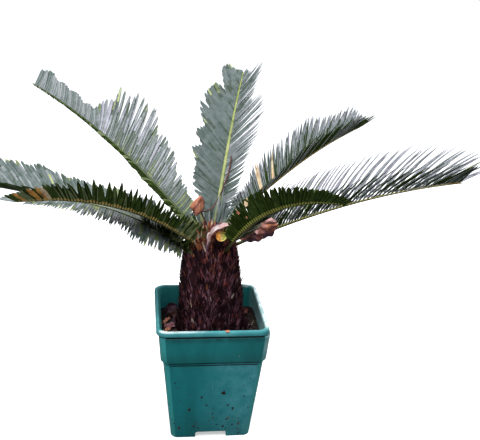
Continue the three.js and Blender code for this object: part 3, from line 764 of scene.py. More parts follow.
# %% Hollow the underside and cut the notches between the feet
FOOT_HEIGHT = 15
FOOT_WALL = 7
NOTCH_WIDTH = 72
NOTCH_ROUNDING = 5
CUTTER_LENGTH = 300
base_z = place(0, 0, 0).z
bpy.ops.object.mode_set(mode="EDIT")
pick(pot, "FACE", lambda f: f.normal.z < -0.9 and abs(middle_of(f).z - base_z) < MM)
bpy.ops.mesh.inset(thickness=FOOT_WALL * MM)
bpy.ops.mesh.extrude_region_move(TRANSFORM_OT_translate={"value": (0, 0, FOOT_HEIGHT * MM)})
bpy.ops.object.mode_set(mode="OBJECT")


def upper_long_edge(edge, long_way):
    """Whether an edge of the cutter runs its long way, on its upper side."""
    run = (edge.verts[1].co - edge.verts[0].co).normalized()
    return abs(run[long_way]) > 0.9 and middle_of(edge).z > base_z


for long_way in (1, 0):
    size = [NOTCH_WIDTH * MM, NOTCH_WIDTH * MM, (2 * FOOT_HEIGHT - 1) * MM]
    size[long_way] = CUTTER_LENGTH * MM
    bpy.ops.mesh.primitive_cube_add(size=1, location=place(WALL_SHIFT, 0, 0), scale=size)
    cutter = bpy.context.object
    settle(cutter)
    bpy.ops.object.mode_set(mode="EDIT")
    pick(cutter, "EDGE", lambda edge: upper_long_edge(edge, long_way))
    bpy.ops.mesh.bevel(offset=NOTCH_ROUNDING * MM, segments=4, affect="EDGES")
    bpy.ops.object.mode_set(mode="OBJECT")
    apply_modifier(pot, "BOOLEAN", operation="DIFFERENCE", object=cutter, solver="EXACT")
    bpy.data.objects.remove(cutter)
print("pot with feet:", len(pot.data.polygons), "faces")

# %% Soften the pot's edges and deal its five finishes
# Faces in these grooves get the painted shade.
GROOVES = [(201.6, 205.2), (208.2, 211.8), (276.2, 280.7)]
# Above the lip's foot, what lies farther than this from the walls' middle gets the lip's plastic, bleached
# and painted with highlights in places.
LIP_OUTSIDE_FROM = 112.6
choose(pot)
apply_modifier(
    pot, "BEVEL", width=0.8 * MM, segments=2, limit_method="ANGLE", angle_limit=math.radians(38)
)
paint(pot, POT_FINISHES)


def outer_half(height):
    """The half-width of the pot's outer wall at a height."""
    return along([[high, half] for half, high in POT_OUTLINE[:OUTER_RINGS]], height)


def pot_finish(spot):
    """The finish at a spot, in millimetres from the walls' middle."""
    from_middle = max(abs(spot.x), abs(spot.y))
    if spot.z > LIP_FOOT:
        return "pot_lip_faded" if from_middle > LIP_OUTSIDE_FROM else "pot_inside_lit"
    if from_middle < outer_half(spot.z) - 2 and spot.z > FOOT_HEIGHT:
        return "pot_inside_lit"
    if any(low < spot.z < high for low, high in GROOVES):
        return "pot_groove_shaded"
    return "pot_collar_shaded" if spot.z > GROOVES[1][1] else "pot_teal"


for face in pot.data.polygons:
    spot = (face.center - place(WALL_SHIFT, 0, 0)) / MM
    face.material_index = POT_FINISHES.index(pot_finish(spot))
dress(pot, ["pot"], smooth_angle=32)

# %% [markdown]
# ## Dirt on the pot
#
# Rain splashes soil against the walls, where it dries in flat, uneven crusts. Each crust is a low
# lens whose edge is pushed in and out. The largest ones have their own places on the front wall,
# and the other three walls get some by chance. A scrape and a flake of leaf are made the same way.

# %% Shape a crust and find its place on a wall
# The height and half-width of the outer wall, without its grooves.
WALL_HALF = [[0, 92.5], [198, 112.9], [213, 119.1], [273, 124.3]]
WALL_SLOPE = 0.105
CRUST_POINTS = 9


def crust(dice, centre, across, up, radius, thick, tall=1.0):
    """A closed lens on the plane of across and up, with an uneven edge."""
    out = np.cross(across, up)
    edge = []
    for k in range(CRUST_POINTS):
        turned = math.tau * k / CRUST_POINTS
        reach = radius * dice.uniform(0.6, 1.15)
        edge.append(centre + across * math.cos(turned) * reach + up * math.sin(turned) * reach * tall)
    pairs = [(k, (k + 1) % CRUST_POINTS) for k in range(CRUST_POINTS)]
    faces = [[k, after, CRUST_POINTS] for k, after in pairs]
    faces += [[after, k, CRUST_POINTS + 1] for k, after in pairs]
    return np.array(edge + [centre + out * thick, centre - out * thick]), faces


def on_wall(side, x, height):
    """The crust's centre, across and up on one of the four walls."""
    out = outwards(side)
    across = np.cross(UP, out)
    middle = beside(WALL_SHIFT, out, along(WALL_HALF, height), height)
    return middle + across * x, across, unit(UP + out * WALL_SLOPE)


print("middle of the front wall, 100 mm up:", on_wall(-90, 0, 100)[0].round(1))

# %% Press crusts of dirt onto the walls
# On the front wall: millimetres right of its middle, height and radius.
FRONT_DIRT = [
    (25, 126, 6.0), (-25, 115, 3.5), (-13, 92, 3.1), (-53, 80, 3.9), (37, 90, 3.1), (48, 81, 3.5),
    (2, 67, 2.4), (3, 55, 2.7), (35, 50, 3.1), (64, 35, 3.1), (49, 33, 2.4), (-41, 32, 2.7),
    (-74, 28, 3.9), (-87, 42, 2.0), (12, 35, 2.4), (28, 29, 2.7), (74, 114, 2.0), (85, 165, 1.6),
    (-79, 143, 2.4), (-86, 156, 2.0), (84, 82, 2.0), (72, 117, 1.6), (62, 22, 2.4), (39, 53, 2.4),
    (-69, 62, 1.6), (-34, 39, 2.0),
]
CRUSTS_PER_WALL = 22
DIRT_FINISHES = ["soil_crumb", "stalk_maroon", "pot_lip_faded", "fibre_pale", "dry_orange"]
DIRT_SHARES = {"soil_crumb": 4, "stalk_maroon": 1}
dice = random.Random(9)
dirt = Pile()
for x, height, radius in FRONT_DIRT:
    lump = crust(dice, *on_wall(-90, x, height), radius, 0.5, dice.uniform(0.8, 1.4))
    dirt.add(*lump, deal(dice, DIRT_SHARES))
for side in (0, 90, 180):
    for _ in range(CRUSTS_PER_WALL):
        height = 8 + 150 * dice.random() ** 1.6
        lump = crust(dice, *on_wall(side, dice.uniform(-82, 82), height), dice.uniform(1.4, 4), 0.5)
        dirt.add(*lump, deal(dice, DIRT_SHARES))
dirt.add(*crust(dice, *on_wall(-90, -1, 143), 1.5, 0.3, 8), "pot_lip_faded")
dirt.add(*crust(dice, *on_wall(-90, 55, 229), 1.7, 0.5), "fibre_pale")
leaf_flake = crust(dice, np.array([29.5, -122.0, 293.4]), outwards(8), outwards(98), 5.5, 1.2)
dirt.add(*leaf_flake, "dry_orange")
dress(dirt.piece("pot_dirt", DIRT_FINISHES), [], smooth_angle=30)

# %% [markdown]
# ## The soil
#
# Potting soil is crumbly, damp and almost black. It is a fine grid with rounded corners that fills
# the pot, closed underneath, with its top moved by a cloud texture. Loose crumbs lie on it.

# %% Fill the pot with soil
SOIL_HALF = 115.7
SOIL_CORNER = 21
SOIL_EDGE_HEIGHT = 236
# The soil's half-width, middle and height, from the edge of its top down to the floor.
SOIL_RINGS = [
    (SOIL_HALF, WALL_SHIFT, SOIL_EDGE_HEIGHT), (108.9, WALL_SHIFT, 209), (90.3, WALL_SHIFT, 19),
]
# The soil above this height is its rough top, and it is this much higher round the trunk.
SOIL_TOP_FROM = 212
MOUND = 4

bpy.ops.mesh.primitive_grid_add(
    x_subdivisions=84, y_subdivisions=84, size=2 * SOIL_HALF * MM,
    location=place(WALL_SHIFT, 0, SOIL_EDGE_HEIGHT),
)
soil = bpy.context.object
soil.name = "soil_bed"
settle(soil)
soil_middle = place(WALL_SHIFT, 0, SOIL_EDGE_HEIGHT)
flat = (SOIL_HALF - SOIL_CORNER) * MM
for vertex in soil.data.vertices:
    x, y = vertex.co.x - soil_middle.x, vertex.co.y - soil_middle.y
    over_x, over_y = max(abs(x) - flat, 0), max(abs(y) - flat, 0)
    if over_x and over_y:
        pull = max(over_x, over_y) / math.hypot(over_x, over_y)
        x = math.copysign(flat + over_x * pull, x)
        y = math.copysign(flat + over_y * pull, y)
    from_trunk = max(abs(x), abs(y)) / (SOIL_HALF * MM)
    vertex.co.x, vertex.co.y = soil_middle.x + x, soil_middle.y + y
    vertex.co.z += MOUND * MM * (1 - from_trunk ** 4)
bpy.ops.object.mode_set(mode="EDIT")
pick(soil, "EDGE", lambda edge: edge.is_boundary)
stack(SOIL_RINGS)
bpy.ops.mesh.edge_face_add()
face_outwards(soil)
top = soil.vertex_groups.new(name="top")
top_from = place(0, 0, SOIL_TOP_FROM).z
top.add([v.index for v in soil.data.vertices if v.co.z >= top_from], 1.0, "REPLACE")
roughen(
    soil, "clods", 11, 7, 0.55, direction="Z", vertex_group="top", texture_coords="LOCAL"
)
paint(soil, ["soil_crumb"])
dress(soil, ["soil"], smooth_angle=60)

# %% Know where the trunk stands
TRUNK_BOTTOM, TRUNK_TOP = 240.3, 458
TRUNK_FOOT_X, TRUNK_TOP_X = 5, -4
TRUNK_PROFILE = [
    [0, 84], [0.06, 79], [0.2, 74], [0.45, 71], [0.7, 65], [0.85, 62], [0.94, 57], [1, 49],
]


def trunk_axis(height):
    return along([[TRUNK_BOTTOM, TRUNK_FOOT_X], [TRUNK_TOP, TRUNK_TOP_X]], height)


def trunk_radius(height):
    return along(TRUNK_PROFILE, (height - TRUNK_BOTTOM) / (TRUNK_TOP - TRUNK_BOTTOM))


print("trunk's radius in the middle:", trunk_radius((TRUNK_BOTTOM + TRUNK_TOP) / 2), "mm")

# %% Scatter crumbs and straws over the soil
CRUMB_COUNT = 900
CRUMB_SHARES = {"soil_crumb": 8, "fibre_mauve": 1, "fibre_dark": 1}
STRAW_COUNT = 90
STRAW_SHARES = {"fibre_mauve": 3, "fibre_dark": 2, "fibre_pale": 1}
CRUMB_LOW, CRUMB_HIGH = 239, 242
STRAW_HEIGHT = 241.0
SOIL_REACH = 106
CORNER_REACH = 138
TRUNK_CLEAR = 78
CRUMB_CORNERS = [[1, 0, 0], [-1, 0, 0], [0, 1, 0], [0, -1, 0], [0, 0, 1], [0, 0, -1]]
CRUMB_FACES = [
    [0, 2, 4], [2, 1, 4], [1, 3, 4], [3, 0, 4], [2, 0, 5], [1, 2, 5], [3, 1, 5], [0, 3, 5],
]


def crumb(dice, x, y, z, size):
    """A rough lump: an octahedron whose six corners are pushed in and out, squashed and turned."""
    corners = np.array(CRUMB_CORNERS, float)
    corners *= np.array([[size * dice.uniform(0.7, 1.3)] for _ in corners])
    corners[:, 2] *= 0.75
    turned = dice.uniform(0, math.tau)
    spin = np.array([[math.cos(turned), -math.sin(turned)], [math.sin(turned), math.cos(turned)]])
    corners[:, :2] = corners[:, :2] @ spin.T
    return corners + np.array([x, y, z]), CRUMB_FACES


def open_soil(dice):
    """A place on the soil that the trunk doesn't cover."""
    while True:
        x, y = dice.uniform(-SOIL_REACH, SOIL_REACH), dice.uniform(-SOIL_REACH, SOIL_REACH)
        if math.hypot(x - TRUNK_FOOT_X, y) > TRUNK_CLEAR and math.hypot(x, y) < CORNER_REACH:
            return x, y


dice = random.Random(11)
crumbs = Pile()
for _ in range(CRUMB_COUNT):
    x, y = open_soil(dice)
    lump = crumb(dice, x, y, dice.uniform(CRUMB_LOW, CRUMB_HIGH), dice.uniform(1.0, 3.6))
    crumbs.add(*lump, deal(dice, CRUMB_SHARES))
for _ in range(STRAW_COUNT):
    x, y = open_soil(dice)
    way = unit(outwards(dice.uniform(0, 360)) + UP * dice.uniform(0.0, 0.25))
    foot = np.array([x, y, STRAW_HEIGHT])
    straw = blade(foot, way, UP, dice.uniform(8, 22), 1.6, 0.9, sides=3)
    crumbs.add(*straw, deal(dice, STRAW_SHARES))
loose = crumbs.piece("soil_crumbs", ["soil_crumb", "fibre_mauve", "fibre_dark", "fibre_pale"])
dress(loose, [], smooth_angle=30)

# %% [markdown]
# ## The trunk
#
# A sago palm's trunk is a column armoured with the stubs of old leaves, each a pointed scale
# wrapped in brown fibre. The core is a disc that is stacked up like the pot and roughened by a
# texture. The stubs follow the golden angle, as they grew, and fibres fill the gaps between them.

# %% Stack and roughen the trunk's core
TRUNK_RINGS = 34
bpy.ops.mesh.primitive_circle_add(
    vertices=72, radius=trunk_radius(TRUNK_BOTTOM) * MM, fill_type="NGON",
    location=place(TRUNK_FOOT_X, 0, TRUNK_BOTTOM),
)
trunk = bpy.context.object
trunk.name = "trunk_core"
settle(trunk)
bpy.ops.object.mode_set(mode="EDIT")
bpy.ops.mesh.select_mode(type="FACE")
bpy.ops.mesh.select_all(action="SELECT")
heights = np.linspace(TRUNK_BOTTOM, TRUNK_TOP, TRUNK_RINGS + 1)
stack([(trunk_radius(height), trunk_axis(height), height) for height in heights])
face_outwards(trunk)
roughen(trunk, "trunk_knobs", 14, 5, 0.75)
paint(trunk, ["fibre_dark"])
dress(trunk, ["trunk"], smooth_angle=60)

# %% Deal the trunk's colours by height
FIBRES = ["fibre_dark", "fibre_mauve", "fibre_red", "fibre_orange", "fibre_pale"]
LOW_FIBRES = dict(zip(FIBRES, (44, 42, 12, 0.4, 1.4)))
HIGH_FIBRES = dict(zip(FIBRES, (40, 14, 36, 9, 1)))
SHADED_FIBRES = dict(zip(FIBRES, (90, 6, 4)))


def fibre_colour(dice, height, angle):
    """Purple-brown low on the trunk, its mauve partly painted highlight, redder with orange flecks near
    the crown, dark in clumps of painted shade.
    """
    spot = outwards(angle) * 2.2 + UP * height / 30
    shade = along([[250, 0.12], [330, -0.02], [440, -0.06]], height)
    if noise.noise(Vector(spot)) < shade + dice.uniform(-0.2, 0.1):
        return deal(dice, SHADED_FIBRES)
    share = along([[360, 0.0], [430, 1.0]], height)
    return deal(dice, HIGH_FIBRES if dice.random() < share else LOW_FIBRES)


def on_trunk(height, angle, sunk):
    """A place sunk under the trunk's surface, and the way out from there."""
    out = outwards(angle)
    return beside(trunk_axis(height), out, trunk_radius(height) - sunk, height), out


print("a fibre low on the trunk:", fibre_colour(random.Random(0), 250, 270))

# %% Armour the trunk with old leaf stubs
STUB_COUNT = 640
STUB_LOW, STUB_HIGH = 238, 448
STUB_SUNK = 6
dice = random.Random(21)
stubs = Pile()
for i in range(STUB_COUNT):
    height = along([[0, STUB_LOW], [1, STUB_HIGH]], (i + dice.random()) / STUB_COUNT)
    angle = i * GOLDEN_ANGLE + dice.uniform(-4, 4)
    spot, out = on_trunk(height, angle, STUB_SUNK)
    side = np.cross(UP, out)
    way = unit(leaning(out, dice.uniform(9, 24)) + side * dice.uniform(-0.16, 0.16))
    length = dice.uniform(17, 27)
    stub = blade(
        spot, way, out, length, dice.uniform(6, 10), dice.uniform(3, 5),
        curl=dice.uniform(-0.08, 0.06),
    )
    stubs.add(*stub, fibre_colour(dice, height, angle))
dress(stubs.piece("trunk_leaf_stubs", FIBRES), [])

# %% Comb fibres between the stubs
FIBRE_COUNT = 4200
FIBRE_LOW, FIBRE_HIGH = 238, 456
FIBRE_SUNK = 2
dice = random.Random(22)
fibres = Pile()
for _ in range(FIBRE_COUNT):
    height = dice.uniform(FIBRE_LOW, FIBRE_HIGH)
    angle = dice.uniform(0, 360)
    spot, out = on_trunk(height, angle, FIBRE_SUNK)
    side = np.cross(UP, out)
    way = unit(leaning(out, dice.uniform(5, 22)) + side * dice.uniform(-0.35, 0.35))
    fibre = blade(
        spot, way, out, dice.uniform(12, 27), dice.uniform(0.9, 1.9), dice.uniform(0.6, 1.1),
        curl=dice.uniform(-0.25, 0.15), sides=3,
    )
    fibres.add(*fibre, fibre_colour(dice, height, angle))
dress(fibres.piece("trunk_fibres", FIBRES), [])

# %% [markdown]
# ## The crown's scales
#
# The growing point is guarded by pointed, felted scales, orange-brown where they are fresh. They
# stand in a spiral on a low dome, nearly upright in the middle and leaning out at the rim. A tuft
# of longer ones hangs over the rim at the front left, and short hairs make the felt between them.

# %% Round the dome
DOME_RADIUS, DOME_HEIGHT = 44, 28
DOME_FOOT = TRUNK_TOP + 0.3
bpy.ops.mesh.primitive_uv_sphere_add(
    segments=48, ring_count=24, radius=1,
    location=place(TRUNK_TOP_X, 0, DOME_FOOT),
    scale=(DOME_RADIUS * MM, DOME_RADIUS * MM, DOME_HEIGHT * MM),
)
dome = bpy.context.object
dome.name = "crown_dome"
settle(dome)
bpy.ops.object.mode_set(mode="EDIT")
bpy.ops.mesh.select_all(action="SELECT")
bpy.ops.mesh.bisect(
    plane_co=place(0, 0, DOME_FOOT), plane_no=(0, 0, 1), use_fill=True, clear_inner=True
)
bpy.ops.object.mode_set(mode="OBJECT")
roughen(dome, "crown_felt", 8, 2.5, 0.8)
paint(dome, ["fibre_red"])
dress(dome, ["crown_scales"], smooth_angle=60)


# %% Find places on the dome
# Under 1, so that places at the rim stay a little above the dome's foot.
DOME_EDGE = 0.97
SCALE_INSET = 0.93
SCALE_SUNK, HAIR_SUNK = 4, 2


def on_dome(out, share, sunk, inset=1.0):
    """A place sunk under the dome's surface, at a share of its radius."""
    height = DOME_FOOT + DOME_HEIGHT * math.sqrt(1 - share * share * DOME_EDGE) - sunk
    return beside(TRUNK_TOP_X, out, DOME_RADIUS * share * inset, height)


print("top of the dome:", on_dome(outwards(0), 0, 0).round(1))

# %% Stand the scales and their felt on it
SCALES = ["fibre_orange", "fibre_red", "fibre_dark", "fibre_pale", "fibre_mauve"]
SCALE_COUNT, SCALE_SHARES = 150, dict(zip(SCALES, (36, 26, 18, 9, 11)))
TUFT_COUNT, TUFT_SHARES = 96, dict(zip(SCALES, (60, 20, 5, 15)))
HAIR_COUNT, HAIR_SHARES = 900, dict(zip(SCALES, (5, 4, 3, 1, 1)))
dice = random.Random(31)
scales = Pile()
for i in range(SCALE_COUNT):
    share = math.sqrt((i + 0.5) / SCALE_COUNT)
    out = outwards(i * GOLDEN_ANGLE)
    spot = on_dome(out, share, SCALE_SUNK, SCALE_INSET)
    way = leaning(out, along([[0, 3], [0.6, 18], [1, 40]], share) + dice.uniform(-5, 5))
    length = dice.uniform(14, 24) * along([[-40, 1.6], [-10, 1.0]], spot[1])
    scale = blade(
        spot, way, out, length, dice.uniform(4, 7), dice.uniform(2.2, 3.4),
        curl=dice.uniform(-0.1, 0.12),
    )
    scales.add(*scale, deal(dice, SCALE_SHARES))
for _ in range(TUFT_COUNT):
    out = outwards(dice.uniform(200, 262))
    spot = beside(TRUNK_TOP_X, out, dice.uniform(36, 55), dice.uniform(448, 484))
    way = leaning(out, dice.uniform(4, 30)) + np.cross(UP, out) * dice.uniform(-0.4, 0.4)
    scale = blade(
        spot, unit(way), out, dice.uniform(16, 32), dice.uniform(4, 6.5), 2.2,
        curl=dice.uniform(-0.1, 0.15),
    )
    scales.add(*scale, deal(dice, TUFT_SHARES))
for _ in range(HAIR_COUNT):
    share = math.sqrt(dice.random())
    out = outwards(dice.uniform(0, 360))
    spot = on_dome(out, share, HAIR_SUNK)
    way = leaning(out, dice.uniform(0, 55))
    hair = blade(spot, way, out, dice.uniform(8, 20), 1.2, 0.8, curl=0.1, sides=3)
    scales.add(*hair, deal(dice, HAIR_SHARES))
dress(scales.piece("crown_scale_tips", SCALES), [])

# %% [markdown]
# ## How a frond grows
#
# A frond is one midrib that rises from the crown and bends over, with a row of leaflets on each
# side. Both rows stand up from the blade like the sides of a V. The rule is worked out once, in
# millimetres, from a few numbers per frond: heading in plan, rise, bend, drift and roll. A row has
# a lift, and the leaflets' lean and reach are given at places from 0 at the foot to 1 at the tip.
# A curl bends them towards the frond's tip, and a droop bends them down.
#
# A row's other keys are for looks, and the usual value stands in for a missing one. `width`,
# `pitch`, `slat`, `foot` and `blunt` shape and space the leaflets. `notches`, `gap`, `depth`,
# `pinch` and `rough` part them into groups. `upper`, `inner`, `middle`, `outer`, `tip`, `edge`,
# `under`, `vein` and `comb` share out the finishes. `own_halves` says how often the two halves
# differ, and `patches` overrule the finishes between two places.

